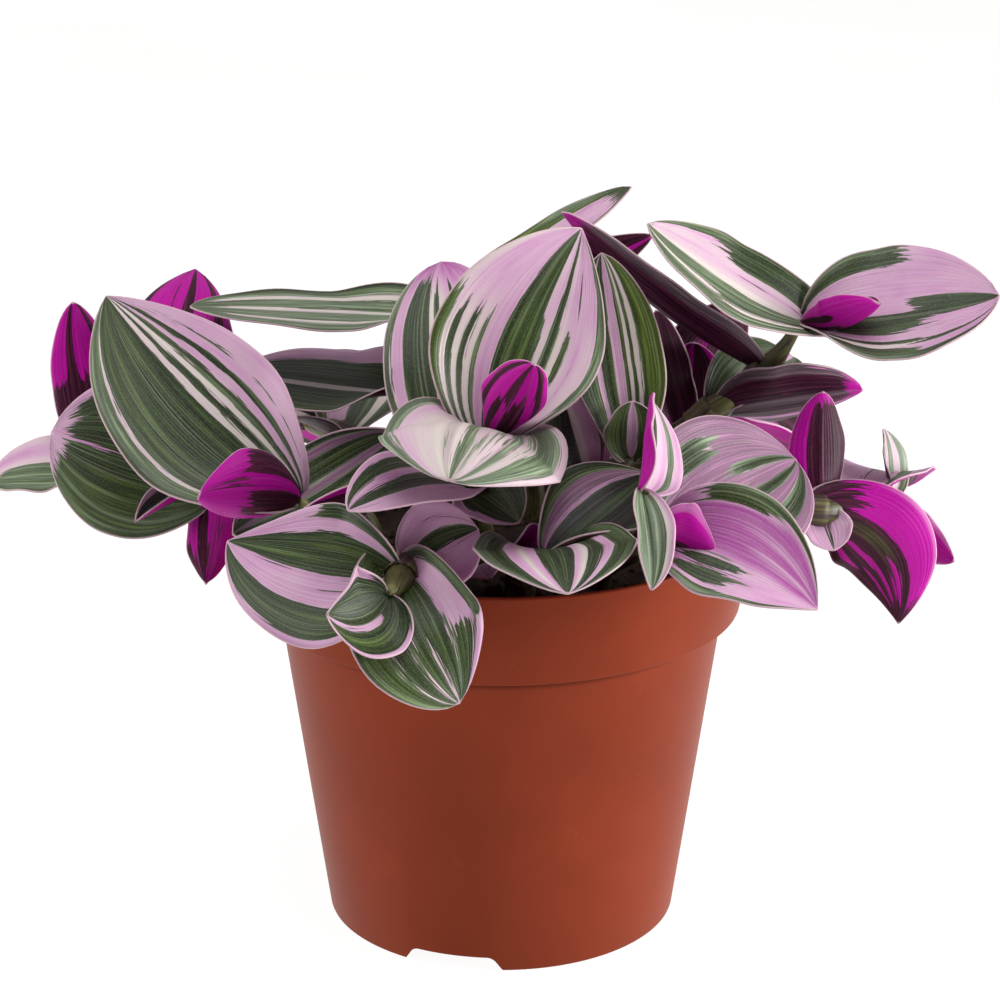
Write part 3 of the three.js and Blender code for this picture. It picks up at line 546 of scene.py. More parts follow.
def pot_material(settings):
    """Thin moulded polypropylene with a satin, slightly cloudy face.

    The mould leaves a fine grain and faint rings, handling leaves pale marks; painted shade lies under the
    band.
    """
    material, add = new_material("Polypropylene, terracotta red-brown")
    coords = add("TexCoord", output="Object")
    size = {"Scale": 1 / (36 * MM), "Detail": 3.0, "Roughness": 0.55}
    clouds = add("TexNoise", {"Vector": coords, **size})
    # The moulded grain is about 0.1 mm, and is drawn at 0.5 mm so that it shows
    fine = add("TexNoise", {"Vector": coords, "Scale": 1 / (0.5 * MM), "Detail": 2.0})
    size = {"Scale": 1 / (4.2 * MM), "Detail": 4.0, "Roughness": 0.65}
    marks = add("TexNoise", {"Vector": coords, **size})
    ring_size = (1 / (17 * MM), 1 / (17 * MM), 1 / (1.1 * MM))
    flat = add("Mapping", {"Vector": coords, "Scale": ring_size})
    rings = add("TexNoise", {"Vector": flat, "Scale": 1.0, "Detail": 2.0})

    tint = settings.tint
    tones = [(0.3, shade(tint, 0.88)), (0.55, tint), (0.75, shade(tint, 1.13))]
    skin = add("ValToRGB", {"Fac": clouds}, stops=tones)
    skin = paint(add, skin, colour("#b98a7c"), marks, 0.64, 0.78, most=0.05)
    # Painted shade: the wall darkens just under the rim band, where the band's shadow falls
    level = add("SeparateXYZ", {"Vector": coords}, "Z")
    low = (POT_HEIGHT - BAND_HEIGHT) * MM
    under_band = add("Math", {0: level, 1: low + 0.1 * MM}, operation="LESS_THAN")
    reach = {"From Min": low - 3 * MM, "From Max": low - 1.2 * MM, "To Max": 0.75}
    painted_band_shade = add("MapRange", {"Value": level, **reach}, **SMOOTHLY)
    painted_band_shade = add("Math", {0: painted_band_shade, 1: under_band}, operation="MULTIPLY")
    skin = add("Mix", {0: painted_band_shade, 6: skin, 7: shade(tint, 0.3)}, 2, **COLOURS)

    rough = add("Math", {0: clouds, 1: 0.14, 2: 0.36}, operation="MULTIPLY_ADD")
    height = add("Math", {0: fine, 1: 0.6}, operation="MULTIPLY")
    height = add("Math", {0: rings, 1: 0.5, 2: height}, operation="MULTIPLY_ADD")
    bump = add("Bump", {"Strength": 0.35, "Distance": 0.06 * MM, "Height": height})
    surface = {"IOR": 1.49, "Specular IOR Level": 0.06}
    return give_shader(material, add, {"Base Color": skin, "Roughness": rough, "Normal": bump, **surface})


def soil_material(settings):
    """Dark, matt peat with lighter fibres, and crumbs that differ in colour."""
    material, add = new_material("Peat potting soil")
    coords = add("TexCoord", output="Object")
    crumb = add("Attribute", output="Fac", attribute_name="crumb")
    coarse, fine = (
        add("TexNoise", {"Vector": coords, "Scale": scale, "Detail": detail, "Roughness": rough})
        for scale, detail, rough in ((1 / (4 * MM), 4.0, 0.65), (1 / (0.7 * MM), 3.0, 0.6))
    )
    peat = settings.peat
    tones = [(0.3, shade(peat, 0.35)), (0.5, peat), (0.7, shade(peat, 2.3))]
    skin = add("ValToRGB", {"Fac": coarse}, stops=tones)
    tones = [(0.0, "#1d1511"), (0.5, "#4a3322"), (0.85, "#8a6a48"), (1.0, "#c4a77c")]
    tones = [(position, colour(code)) for position, code in tones]
    light = add("ValToRGB", {"Fac": crumb}, stops=tones)
    skin = paint(add, skin, light, crumb, 0.02, 0.1)
    skin = paint(add, skin, colour("#6b5138"), fine, 0.6, 0.75, most=0.4)
    height = add("Math", {0: fine, 1: 0.4, 2: coarse}, operation="MULTIPLY_ADD")
    bump = add("Bump", {"Strength": 0.8, "Distance": 1.2 * MM, "Height": height})
    surface = {"Roughness": 0.92, "Specular IOR Level": 0.3}
    return give_shader(material, add, {"Base Color": skin, "Normal": bump, **surface})


def floor_material(settings):
    """Plain, matt white studio paper, which glows enough to look burnt out."""
    material, add = new_material("White studio paper")
    coords = add("TexCoord", output="Object")
    tint = add("TexNoise", {"Vector": coords, "Scale": 1 / (330 * MM), "Detail": 2.0})
    tones = [(0.3, colour("#fbfbfa")), (0.7, colour("#ffffff"))]
    tone = add("ValToRGB", {"Fac": tint}, stops=tones)
    shader = add("BsdfPrincipled", {"Base Color": tone, "Roughness": 0.9})
    glow = add("Emission", {"Color": tone, "Strength": settings.paper_glow})
    both = add("MixShader", {0: 0.85, 1: shader, 2: glow})
    add("OutputMaterial", {"Surface": both})
    return material


def smooth(value, low, high):
    """0 at low, 1 at high, and smooth between."""
    share = min(1.0, max(0.0, (value - low) / (high - low)))
    return share * share * (3 - 2 * share)


def sign(value):
    """-1, 0 or 1."""
    return (value > 0) - (value < 0)


def route_point(route, share):
    """A point of the smooth curve through a route's points, share from 0 to 1 along them."""
    place = share * (len(route) - 1)
    first = min(int(place), len(route) - 2)
    points = [Vector(p) for p in route]
    before = points[first - 1] if first > 0 else 2 * points[0] - points[1]
    after = points[first + 2] if first + 2 < len(points) else 2 * points[-1] - points[-2]
    knots = [before, points[first], points[first + 1], after]
    times = [0.0]
    for start, end in zip(knots, knots[1:]):
        times.append(times[-1] + math.sqrt((end - start).length))
    time = times[1] + (place - first) * (times[2] - times[1])

    def between(low, high, a, b):
        return a.lerp(b, (time - times[low]) / (times[high] - times[low]))

    ends = [between(i, i + 1, knots[i], knots[i + 1]) for i in range(3)]
    inner = [between(i, i + 2, ends[i], ends[i + 1]) for i in range(2)]
    return between(1, 2, inner[0], inner[1])


def width_share(u, point):
    """How wide a blade is at u along it, as a share of its full width."""
    widest = (BASE_POWER - point * BASE_START) / (point + BASE_POWER)

    def raw(x):
        return (1 - x) ** point * (x + BASE_START) ** BASE_POWER

    return raw(u) / raw(widest)


def blade_surface(blade, base):
    """The middle surface of a blade: a point for u from base to tip and v from one edge to the other."""
    tip = Vector(blade["tip"])
    axis = (tip - base).normalized()
    face = Vector(blade["face"])
    face = (face - face.dot(axis) * axis).normalized()
    side = axis.cross(face)
    start = base - face * CLASP_OFFSET
    bend = start.lerp(tip, 0.5) + face * 2 * blade["bow"] + side * 2 * blade.get("sway", 0)
    clasp, cup, twist = (math.radians(blade.get(key, 0)) for key in ("clasp", "cup", "twist"))
    point = blade.get("point", TIP_POWER)
    lobe = blade.get("lobe", LOBE)

    def place(u, v):
        middle = (1 - u) ** 2 * start + 2 * u * (1 - u) * bend + u * u * tip
        along = (2 * (1 - u) * (bend - start) + 2 * u * (tip - bend)).normalized()
        up = (face - face.dot(along) * along).normalized()
        up.rotate(Quaternion(along, twist * (u - TWIST_PIVOT)))
        across = along.cross(up)
        half_curl = (clasp + (cup - clasp) * smooth(u, 0, CLASP_END)) / 2
        if abs(half_curl) < LEAST_CURL:
            half_curl = LEAST_CURL
        radius = max(TIP_HALF_WIDTH, blade["width"] / 2 * width_share(u, point)) / half_curl
        turn = abs(v) * half_curl
        back = lobe * v * v * (1 - smooth(u, 0, LOBE_END))
        sideways = across * sign(v) * radius * math.sin(turn)
        return middle + sideways + up * radius * (1 - math.cos(turn)) - along * back

    return place


def stripe_at(stripes, v):
    """The look of a pattern at v from -1 to 1, flat in each stripe's middle and quick between two."""
    place = (v + 1) / 2 * len(stripes) - 0.5
    first = math.floor(place)
    low = STRIPE[stripes[min(len(stripes) - 1, max(0, first))]]
    high = STRIPE[stripes[min(len(stripes) - 1, max(0, first + 1))]]
    return Vector(low).lerp(Vector(high), smooth(place - first, *STRIPE_EDGE))


def blade_look(blade, typical, u, v):
    """The (green, pink, lime, silver) of a blade at u along it and v across it."""
    look = stripe_at(blade["near"] or typical, v)
    if "far" in blade:
        look = look.lerp(stripe_at(blade["far"], v), smooth(u, *TO_FAR))
    if "end" in blade:
        look = look.lerp(Vector(STRIPE[blade["end"]]), END_SHARE * smooth(u, *TO_END))
    if "base" in blade:
        look = look.lerp(Vector(STRIPE[blade["base"]]), BASE_SHARE * (1 - smooth(u, *FROM_BASE)))
    return look


class Layers:
    """The values that a leafy stem's mesh carries for its materials."""

    def __init__(self, bm):
        self.place = bm.verts.layers.float_vector.new("place")
        self.look = bm.verts.layers.float_vector.new("look")
        self.silver = bm.verts.layers.float.new("silver")
        self.edge = bm.verts.layers.float.new("edge")
        self.up = bm.verts.layers.float_vector.new("up")


def add_sheet(bm, along, across):
    """A flat sheet of so many cells, from -1 to 1 both ways. Returns its vertices and its faces."""
    verts = bmesh.ops.create_grid(bm, x_segments=along, y_segments=across, size=1.0)["verts"]
    return verts, list({face for vert in verts for face in vert.link_faces})


def square_to(along):
    """A direction at right angles to another."""
    return along.cross(Vector((0, 1, 0)) if abs(along.y) < 0.9 else Vector((1, 0, 0))).normalized()


def face_outwards(bm, faces):
    """Turns a shell's faces to look out of it, which its signed volume tells, and shades them smooth."""
    bmesh.ops.recalc_face_normals(bm, faces=faces)
    volume = 0.0
    for face in faces:
        face.smooth = True
        first, *others = [vert.co for vert in face.verts]
        volume += sum(first.dot(second.cross(third)) for second, third in zip(others, others[1:]))
    if volume < 0:
        bmesh.ops.reverse_faces(bm, faces=faces)


def thicken(bm, faces, thickness):
    """Makes a sheet into a closed shell, and returns all the shell's faces, its rim's too."""
    shell = bmesh.ops.solidify(bm, geom=faces, thickness=thickness)
    faces += [item for item in shell["geom"] if isinstance(item, bmesh.types.BMFace)]
    verts = {vert for face in faces if face.is_valid for vert in face.verts}
    faces = list({face for vert in verts for face in vert.link_faces})
    face_outwards(bm, faces)
    return faces


def add_blade(bm, layers, blade, base, seed, settings):
    """One blade as a thin closed shell, with its upper and its under side."""
    draw = random.Random(seed)
    place = blade_surface(blade, base)
    typical = draw.choice(TYPICAL)
    length = (Vector(blade["tip"]) - base).length
    waves, phase = draw.uniform(*RIPPLES), draw.uniform(0, math.tau)
    verts, faces = add_sheet(bm, settings.along, settings.across)
    for vert in verts:
        u, v = min(1.0, max(0.0, (vert.co.x + 1) / 2)), min(1.0, max(-1.0, vert.co.y))
        along = place(min(1, u + SURFACE_STEP), v) - place(max(0, u - SURFACE_STEP), v)
        across = place(u, min(1, v + SURFACE_STEP)) - place(u, max(-1, v - SURFACE_STEP))
        up = across.cross(along).normalized()
        lag = RIPPLE_LAG if v > 0 else 0
        ripple = settings.ripple / MM * math.sin(waves * math.tau * u + phase + lag) * v**4
        keel = settings.keel / MM * math.exp(-((v / KEEL_HALF) ** 2))
        vert.co = (place(u, v) + up * (ripple - keel) * math.sin(math.pi * u)) * MM
        vert[layers.up] = up
        vert[layers.place] = Vector((u * length, v * blade["width"] / 2, seed))
        look = blade_look(blade, typical, u, v)
        vert[layers.look] = look.to_3d()
        vert[layers.silver] = look[3]
        half = blade["width"] / 2 * width_share(u, blade.get("point", TIP_POWER))
        vert[layers.edge] = min((1 - abs(v)) * half, (1 - u) * length * TIP_MARGIN)
    for item in faces + verts:
        item.normal_update()
    for face in thicken(bm, faces, settings.thickness):
        face.material_index = UNDER if face.normal.dot(face.verts[0][layers.up]) < FACES_DOWN else UPPER


def add_tube(bm, layers, route, start, end, radius_at, rings, seed, closed):
    """A round tube along a route, from one share of it to another. Returns its faces."""
    verts, faces = add_sheet(bm, rings, STEM_SIDES)
    for vert in verts:
        share = start + (end - start) * min(1.0, max(0.0, (vert.co.x + 1) / 2))
        angle = math.pi * vert.co.y
        centre = route_point(route, share)
        low, high = max(0.0, share - ROUTE_STEP), min(1.0, share + ROUTE_STEP)
        along = (route_point(route, high) - route_point(route, low)).normalized()
        across = square_to(along)
        up = across.cross(along)
        radius = radius_at(centre, share)
        vert.co = (centre + (across * math.cos(angle) + up * math.sin(angle)) * radius) * MM
        vert[layers.up] = Vector((0, 0, 1))
        vert[layers.place] = Vector((share * GRAIN_LENGTH, abs(angle) * radius, seed))
    bmesh.ops.remove_doubles(bm, verts=verts, dist=SEAM * MM)
    faces = [face for face in faces if face.is_valid]
    if closed:
        ends = [edge for face in faces for edge in face.edges if edge.is_boundary]
        faces += bmesh.ops.holes_fill(bm, edges=list(set(ends)), sides=0)["faces"]
    face_outwards(bm, faces)
    for vert in {vert for face in faces for vert in face.verts}:
        vert.normal_update()
    return faces


def add_sheath(bm, layers, route, at, seed, settings):
    """The sheath under a blade: a thin sleeve round the stem, with short hairs at its mouth."""
    draw = random.Random(seed * 31)
    top = at / (len(route) - 1)
    span = (Vector(route[at]) - Vector(route[at - 1])).length
    start = top - min(SHEATH_MOST, SHEATH_LENGTH / span) / (len(route) - 1)
    radius = settings.stem_radius / MM

    def radius_at(centre, share):
        return radius + SHEATH_GAP + (SHEATH_RADIUS - radius) * smooth(share, start, top)

    faces = add_tube(bm, layers, route, start, top, radius_at, SHEATH_RINGS, seed + 0.5, False)
    for face in thicken(bm, faces, SHEATH_THICKNESS * MM):
        face.material_index = SHEATH
    centre = route_point(route, top)
    along = (centre - route_point(route, start)).normalized()
    across = square_to(along)
    for _ in range(settings.hairs):
        out = across.copy()
        out.rotate(Quaternion(along, draw.uniform(0, math.tau)))
        lean = (out * draw.uniform(*HAIR_LEAN) + along).normalized()
        root = centre + out * (SHEATH_RADIUS + HAIR_GAP)
        length = settings.hair_length / MM * draw.uniform(*HAIR_LENGTHS)
        turn = Vector((0, 0, 1)).rotation_difference(lean).to_matrix().to_4x4()
        matrix = Matrix.Translation((root + lean * length / 2) * MM) @ turn
        hair = bmesh.ops.create_cone(
            bm, cap_ends=True, segments=3, radius1=HAIR_RADIUS * MM, radius2=0.0, depth=length * MM,
            matrix=matrix,
        )
        for face in {face for vert in hair["verts"] for face in vert.link_faces}:
            face.material_index = HAIR


def new_object(name, data):
    """Puts an object into the scene."""
    item = bpy.data.objects.new(name, data)
    bpy.context.scene.collection.objects.link(item)
    return item


def new_shape(name, bm, materials=()):
    """Puts a mesh into the scene, with its materials."""
    mesh = bpy.data.meshes.new(name)
    bm.to_mesh(mesh)
    bm.free()
    for material in materials:
        mesh.materials.append(material)
    return new_object(name, mesh)


def new_piece(name, bm, materials, node):
    """Puts a piece into the scene under the root body, and hides the node that it stands for."""
    piece = new_shape(name, bm, materials)
    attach(piece, "root")
    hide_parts(node)
    return piece


def inner_radius(height, wall):
    """The pot's inner radius under its rim band."""
    share = height / (POT_HEIGHT - BAND_HEIGHT)
    return FOOT_RADIUS + (WALL_TOP_RADIUS - FOOT_RADIUS) * share - wall


def cut(target, cutters):
    """Cuts the cutters' shapes out of an object's mesh, and removes the cutters."""
    for cutter in cutters:
        modifier = target.modifiers.new("cut", "BOOLEAN")
        modifier.operation = "DIFFERENCE"
        modifier.solver = "EXACT"
        modifier.object = cutter
    graph = bpy.context.evaluated_depsgraph_get()
    mesh = bpy.data.meshes.new_from_object(target.evaluated_get(graph))
    target.modifiers.clear()
    old = target.data
    target.data = mesh
    bpy.data.meshes.remove(old)
    for cutter in cutters:
        bpy.data.objects.remove(cutter)


def tint_setting(name, description, code):
    """A colour that a user can change."""
    return bpy.props.FloatVectorProperty(
        name=name, description=description, subtype="COLOR", size=4, min=0.0, max=1.0, default=colour(code)
    )


def count_setting(name, description, default, least=0):
    """A number of things that a user can change."""
    return bpy.props.IntProperty(name=name, description=description, default=default, min=least)


def amount_setting(name, description, default, **kind):
    """An amount that a user can change."""
    return bpy.props.FloatProperty(name=name, description=description, default=default, min=0.0, **kind)


def length_setting(name, description, default):
    """A length that a user can change, in metres."""
    return amount_setting(name, description, default, unit="LENGTH")


class PotSettings(bpy.types.PropertyGroup):
    """The pot's plastic."""

    tint: tint_setting("Tint", "Colour of the pot's plastic", "#7d321c")
    wall: length_setting("Wall", "Thickness of the pot's wall", 1.6 * MM)
    steps: count_setting("Steps", "Steps round the pot", 144, 32)
    rounding: length_setting("Rounding", "Radius of the pot's moulded edges", 0.6 * MM)


class SoilSettings(bpy.types.PropertyGroup):
    """The soil's surface."""

    peat: tint_setting("Peat", "Colour of the soil", "#2a1d15")
    cells: count_setting("Cells", "Cells across the surface", 84, 10)
    bumps: length_setting("Bumps", "Height of the surface's bumps", 1.6 * MM)
    crumbs: count_setting("Crumbs", "Loose crumbs on the surface", 520)
    seed: count_setting("Seed", "Seed of the crumbs' places", 11)


class LeafSettings(bpy.types.PropertyGroup):
    """The leaves' and stems' colours and fineness."""

    green: tint_setting("Green", "Colour of the dark green stripes", "#2b391c")
    silver_green: tint_setting("Silver green", "Colour of the grey-green stripes", "#74836a")
    fresh_green: tint_setting("Fresh green", "Colour of the yellow-green stripes", "#566b22")
    cream: tint_setting("Cream", "Colour of the palest stripes", "#dad3c8")
    pink: tint_setting("Pink", "Colour of the pink stripes", "#cf9fc2")
    rose: tint_setting("Rose", "Colour of the deepest pink on the upper side", "#ae4f9f")
    magenta: tint_setting("Magenta", "Colour of the underside", "#b30894")
    maroon: tint_setting("Maroon", "Colour of the underside below green stripes", "#42132c")
    stem: tint_setting("Stem", "Colour of the stems", "#55542f")
    stem_radius: length_setting("Stem radius", "Radius of a stem between its nodes", 2.7 * MM)
    thickness: length_setting("Thickness", "Thickness of a blade", 0.4 * MM)
    ripple: length_setting("Ripple", "Height of the waves along a margin", 0.3 * MM)
    keel: length_setting("Keel", "Depth of the groove along the midrib", 0.3 * MM)
    hair_length: length_setting("Hair length", "Length of the hairs at a sheath's mouth", 1.1 * MM)
    hairs: count_setting("Hairs", "Hairs at each sheath's mouth", 9)
    along: count_setting("Along", "Cells along a blade", 36, 6)
    across: count_setting("Across", "Cells across a blade", 24, 4)


class StudioSettings(bpy.types.PropertyGroup):
    """The light round the plant."""

    side_light: amount_setting("Side light", "Power of the left softbox", 5.5, subtype="POWER")
    sky: amount_setting("Sky", "Strength of the white surroundings", 0.4, subtype="FACTOR")
    paper_glow: amount_setting("Glow", "Brightness of the white floor", 1.12, subtype="FACTOR")


class PLANT_OT_pot(bpy.types.Operator):
    """Builds the pot with its band, its foot notches and its drain holes"""

    bl_idname = "plant.pot"
    bl_label = "Build the pot"

    def execute(self, context):
        settings = context.scene.plant_pot
        wall = settings.wall / MM
        band_low = POT_HEIGHT - BAND_HEIGHT
        profile = [
            (0, 0), (PAD_RADIUS, 0), (PAD_RADIUS + PAD_SLOPE, FLOOR_UNDER),
            (FOOT_RADIUS - SKIRT_WIDTH, FLOOR_UNDER), (FOOT_RADIUS - SKIRT_WIDTH, 0), (FOOT_RADIUS, 0),
            (WALL_TOP_RADIUS, band_low), (BAND_LOW_RADIUS, band_low),
            (RIM_RADIUS, POT_HEIGHT), (RIM_RADIUS - wall, POT_HEIGHT),
            (BAND_LOW_RADIUS - wall + LIP_INNER_STEP, band_low + SHOULDER_RISE),
            (inner_radius(band_low, wall), band_low - SHOULDER_DROP),
            (inner_radius(FLOOR_TOP, wall), FLOOR_TOP), (PAD_RADIUS, FLOOR_TOP),
            (PAD_RADIUS - PAD_SLOPE, FLOOR_THICKNESS), (0, FLOOR_THICKNESS),
        ]
        bm = bmesh.new()
        verts = [bm.verts.new((radius * MM, 0, height * MM)) for radius, height in profile]
        for pair in zip(verts, verts[1:]):
            bm.edges.new(pair)
        bmesh.ops.bevel(
            bm, geom=verts[1:-1], offset=settings.rounding, offset_type="OFFSET", affect="VERTICES",
            segments=3, profile=0.5, material=-1,
        )
        bmesh.ops.spin(
            bm, geom=bm.verts[:] + bm.edges[:], cent=(0, 0, 0), axis=(0, 0, 1), steps=settings.steps,
            angle=math.tau, use_merge=True,
        )
        bmesh.ops.remove_doubles(bm, verts=bm.verts[:], dist=POT_SEAM * MM)
        bmesh.ops.recalc_face_normals(bm, faces=bm.faces[:])
        pot = new_piece("nursery_pot", bm, [pot_material(settings)], "pot")
        cutters = []
        for i in range(NOTCH_COUNT):
            turn = Matrix.Rotation(math.radians(FIRST_NOTCH_DEG + 360 * i / NOTCH_COUNT), 4, "Z")
            cutters += [self.notch(turn), self.drain(turn)]
        cut(pot, cutters)
        pot.data.shade_smooth()
        pot.data.set_sharp_from_angle(angle=math.radians(SHARP_FROM_DEG))
        return {"FINISHED"}

    def notch(self, turn):
        """A block across the foot's skirt, wider where it opens onto the ground."""
        bm = bmesh.new()
        bmesh.ops.create_cube(bm, size=1.0)
        for vert in bm.verts:
            half = NOTCH_TOP_HALF if vert.co.z > 0 else NOTCH_LOW_HALF
            vert.co.y = half * sign(vert.co.y)
            vert.co.x = FOOT_RADIUS - NOTCH_INSET + NOTCH_DEPTH / 2 * sign(vert.co.x)
            vert.co.z = NOTCH_HEIGHT if vert.co.z > 0 else -CUT_BEYOND
        corners = [e for e in bm.edges if e.verts[0].co.yz == e.verts[1].co.yz and e.verts[0].co.z > 0]
        bmesh.ops.bevel(
            bm, geom=corners, offset=NOTCH_ROUNDING, offset_type="OFFSET", affect="EDGES",
            segments=4, profile=0.5, material=-1,
        )
        bmesh.ops.transform(bm, matrix=turn @ Matrix.Scale(MM, 4), verts=bm.verts[:])
        return new_shape("cutter", bm)

    def drain(self, turn):
        """A drain hole's cylinder."""
        bm = bmesh.new()
        lift = Matrix.Translation((DRAIN_RING, 0, FLOOR_TOP / 2))
        bmesh.ops.create_cone(
            bm, cap_ends=True, segments=DRAIN_SIDES, radius1=DRAIN_RADIUS, radius2=DRAIN_RADIUS,
            depth=FLOOR_TOP + 2 * CUT_BEYOND, matrix=lift,
        )
        bmesh.ops.transform(bm, matrix=turn @ Matrix.Scale(MM, 4), verts=bm.verts[:])
        return new_shape("cutter", bm)


class PLANT_OT_soil(bpy.types.Operator):
    """Fills the pot with soil: a bumpy, slightly crowned surface with loose crumbs"""

    bl_idname = "plant.soil"
    bl_label = "Fill the pot with soil"

    def execute(self, context):
        settings = context.scene.plant_soil
        draw = random.Random(settings.seed)
        band_low = POT_HEIGHT - BAND_HEIGHT
        slope = (RIM_RADIUS - BAND_LOW_RADIUS) / BAND_HEIGHT
        wall = context.scene.plant_pot.wall / MM
        edge = BAND_LOW_RADIUS - wall + slope * (SOIL_EDGE_HEIGHT - band_low) - SOIL_INSET
        bm = bmesh.new()
        crumb = bm.verts.layers.float.new("crumb")
        bmesh.ops.create_grid(bm, x_segments=settings.cells, y_segments=settings.cells, size=1.0)
        for vert in bm.verts:
            x, y = vert.co.x, vert.co.y
            flat = Vector((x * math.sqrt(1 - y * y / 2), y * math.sqrt(1 - x * x / 2), 0))
            vert.co = flat * edge
            vert.co.z = self.height(flat, settings)
        rim = [e for e in bm.edges if e.is_boundary]
        levels = [
            (BAND_LOW_RADIUS - wall - SOIL_INSET, band_low + SHOULDER_RISE),
            (inner_radius(band_low, wall) - SOIL_INSET, band_low - SHOULDER_DROP),
            (inner_radius(FLOOR_TOP, wall) - SOIL_INSET, FLOOR_TOP + SOIL_BELOW),
            (PAD_RADIUS, FLOOR_TOP + SOIL_BELOW),
        ]
        for radius, height in levels:
            grown = bmesh.ops.extrude_edge_only(bm, edges=rim)["geom"]
            rim = [item for item in grown if isinstance(item, bmesh.types.BMEdge) and item.is_boundary]
            for vert in {v for e in rim for v in e.verts}:
                spread = Vector((vert.co.x, vert.co.y, 0)).normalized() * radius
                vert.co = (spread.x, spread.y, height)
        bmesh.ops.holes_fill(bm, edges=rim, sides=0)
        for _ in range(settings.crumbs):
            radius = edge * CRUMB_REACH * math.sqrt(draw.random())
            angle = draw.uniform(0, math.tau)
            flat = Vector((math.cos(angle), math.sin(angle), 0)) * radius / edge
            size = draw.uniform(*CRUMB_SIZES) ** CRUMB_SIZE_POWER
            spot = flat * edge
            spot.z = self.height(flat, settings) + size * CRUMB_LIFT
            width, rise = draw.uniform(*CRUMB_WIDTHS), draw.uniform(*CRUMB_HEIGHTS)
            stretch = Matrix.Diagonal((size, size * width, size * rise, 1))
            turn = Matrix.Rotation(draw.uniform(0, math.tau), 4, "Z")
            turn = turn @ Matrix.Rotation(draw.uniform(-1, 1), 4, "X")
            matrix = Matrix.Translation(spot) @ turn @ stretch
            ball = bmesh.ops.create_icosphere(bm, subdivisions=1, radius=1.0, matrix=matrix)
            tone = CRUMB_LEAST_TONE + (1 - CRUMB_LEAST_TONE) * draw.random() ** CRUMB_TONE_POWER
            for vert in ball["verts"]:
                vert.co += Vector([draw.uniform(-1, 1) for _ in range(3)]) * size * CRUMB_PUSH
                vert[crumb] = tone
        bmesh.ops.scale(bm, vec=(MM, MM, MM), verts=bm.verts[:])
        bmesh.ops.recalc_face_normals(bm, faces=bm.faces[:])
        soil = new_piece("potting_soil", bm, [soil_material(settings)], "soil")
        soil.data.shade_smooth()
        return {"FINISHED"}

    def height(self, flat, settings):
        """The surface's height at a place, given as a share of the edge's radius."""
        spread = flat.length
        bumps = 0.0
        for size, share in SOIL_WAVES:
            bumps += share * math.sin(flat.x * size * 3.1 + 1.7 * math.sin(flat.y * size * 2.3 + size))
            bumps += share * math.sin(flat.y * size * 2.9 + 1.3 * math.sin(flat.x * size * 2.7 - size))
        crown = SOIL_CROWN * (1 - spread * spread)
        bumps *= settings.bumps / MM / 2 * (1 - SOIL_CALM * spread)
        return SOIL_EDGE_HEIGHT - SOIL_SINK + crown + bumps


class PLANT_OT_leafy_stems(bpy.types.Operator):
    """Grows each leafy stem with its blades, sheaths and hairs as one piece"""

    bl_idname = "plant.leafy_stems"
    bl_label = "Grow the leafy stems"

    def execute(self, context):
        settings = context.scene.plant_leaf
        materials = [
            blade_material("Tradescantia blade, upper side", False, settings),
            blade_material("Tradescantia blade, underside", True, settings),
            stem_material(settings),
            sheath_material(),
            hair_material(),
        ]
        seed = 1
        for name, (route, *blades) in LEAFY_STEMS.items():
            bm = bmesh.new()
            layers = Layers(bm)
            nodes = [Vector(route[blade["at"]]) for blade in blades]

            def radius_at(centre, share, nodes=nodes):
                near = min(min((centre - node).length for node in nodes), NODE_REACH)
                end = 1 - END_TAPER * smooth(share, TAPER_FROM, 1.0)
                end *= math.sqrt(max(END_LEAST, 1 - smooth(share, CLOSE_FROM, 1.0) ** 2))
                return settings.stem_radius / MM * (1 + NODE_SWELL * (1 - near / NODE_REACH)) * end

            spans = len(route) - 1
            for face in add_tube(bm, layers, route, 0.0, 1.0, radius_at, STEM_RINGS * spans, seed, True):
                face.material_index = STEM
            for at in sorted({blade["at"] for blade in blades if blade["at"] < spans}):
                add_sheath(bm, layers, route, at, seed + at, settings)
            for blade in blades:
                add_blade(bm, layers, blade, Vector(route[blade["at"]]), seed, settings)
                seed += 1
            bm.verts.layers.float_vector.remove(layers.up)
            new_piece("foliage_" + name, bm, materials, "leafy_stem_" + name)
        return {"FINISHED"}


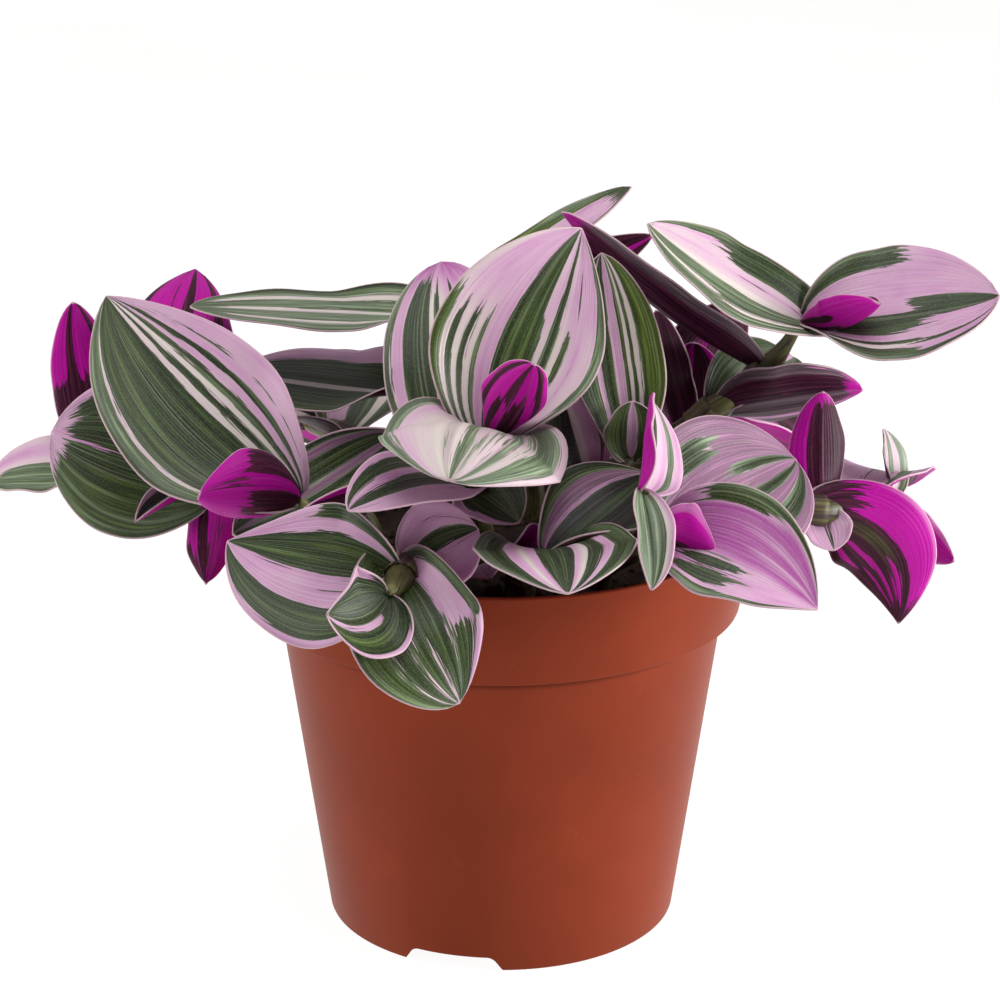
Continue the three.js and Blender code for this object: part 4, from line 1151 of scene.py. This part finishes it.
class PLANT_OT_studio(bpy.types.Operator):
    """Sets the camera, the white floor and the soft light"""

    bl_idname = "plant.studio"
    bl_label = "Set up the studio"

    def execute(self, context):
        settings = context.scene.plant_studio
        scene = context.scene
        bm = bmesh.new()
        bmesh.ops.create_grid(bm, x_segments=2, y_segments=2, size=FLOOR_HALF)
        floor = new_shape("floor", bm, [floor_material(settings)])

        data = bpy.data.cameras.new("camera")
        data.sensor_width = CAMERA_SENSOR
        data.lens = CAMERA_LENS
        data.shift_x = CAMERA_SHIFT
        data.clip_start = CAMERA_CLIP
        scene.camera = new_object("camera", data)
        scene.camera.location = CAMERA_AT
        scene.camera.rotation_euler = (math.radians(CAMERA_TILT_DEG), 0, 0)

        for name, (place, width, share) in SOFTBOXES.items():
            light = bpy.data.lights.new("softbox_" + name, "AREA")
            light.shape = "SQUARE"
            light.size = width
            light.energy = settings.side_light * share
            lamp = new_object("softbox_" + name, light)
            lamp.location = place
            lamp.rotation_euler = (Vector(LIGHT_AIM) - lamp.location).to_track_quat("-Z", "Y").to_euler()

        world = bpy.data.worlds.new("studio")
        world.use_nodes = True
        world.node_tree.nodes.clear()
        add = partial(add_node, world.node_tree)
        direction = add("TexCoord", output="Generated")
        behind = add("SeparateXYZ", {"Vector": direction}, "Y")
        reach = {"From Min": SKY_TURN[0], "From Max": SKY_TURN[1]}
        reach |= {"To Min": settings.sky * SKY_DIM, "To Max": settings.sky}
        strength = add("MapRange", {"Value": behind, **reach}, **SMOOTHLY)
        sky = add("Background", {"Color": (1, 1, 1, 1), "Strength": strength})
        add("OutputWorld", {"Surface": sky})
        scene.world = world
        scene.view_settings.view_transform = "Standard"
        return {"FINISHED"}


class PLANT_PT_parts(bpy.types.Panel):
    """The plant's pieces and its studio"""

    bl_idname = "PLANT_PT_parts"
    bl_label = "Potted tradescantia"
    bl_space_type = "VIEW_3D"
    bl_region_type = "UI"
    bl_category = "Plant"

    def draw(self, context):
        for operator in OPERATORS:
            self.layout.operator(operator.bl_idname)


SETTINGS = {
    "plant_pot": PotSettings,
    "plant_soil": SoilSettings,
    "plant_leaf": LeafSettings,
    "plant_studio": StudioSettings,
}
OPERATORS = (PLANT_OT_pot, PLANT_OT_soil, PLANT_OT_leafy_stems, PLANT_OT_studio)


def register():
    for name, group in SETTINGS.items():
        bpy.utils.register_class(group)
        setattr(bpy.types.Scene, name, bpy.props.PointerProperty(type=group))
    for cls in (*OPERATORS, PLANT_PT_parts):
        bpy.utils.register_class(cls)


def unregister():
    for cls in (PLANT_PT_parts, *reversed(OPERATORS)):
        bpy.utils.unregister_class(cls)
    for name, group in SETTINGS.items():
        delattr(bpy.types.Scene, name)
        bpy.utils.unregister_class(group)


def main():
    register()
    bpy.ops.plant.pot()
    bpy.ops.plant.soil()
    bpy.ops.plant.leafy_stems()
    bpy.ops.plant.studio()


if __name__ == "__main__":
    main()
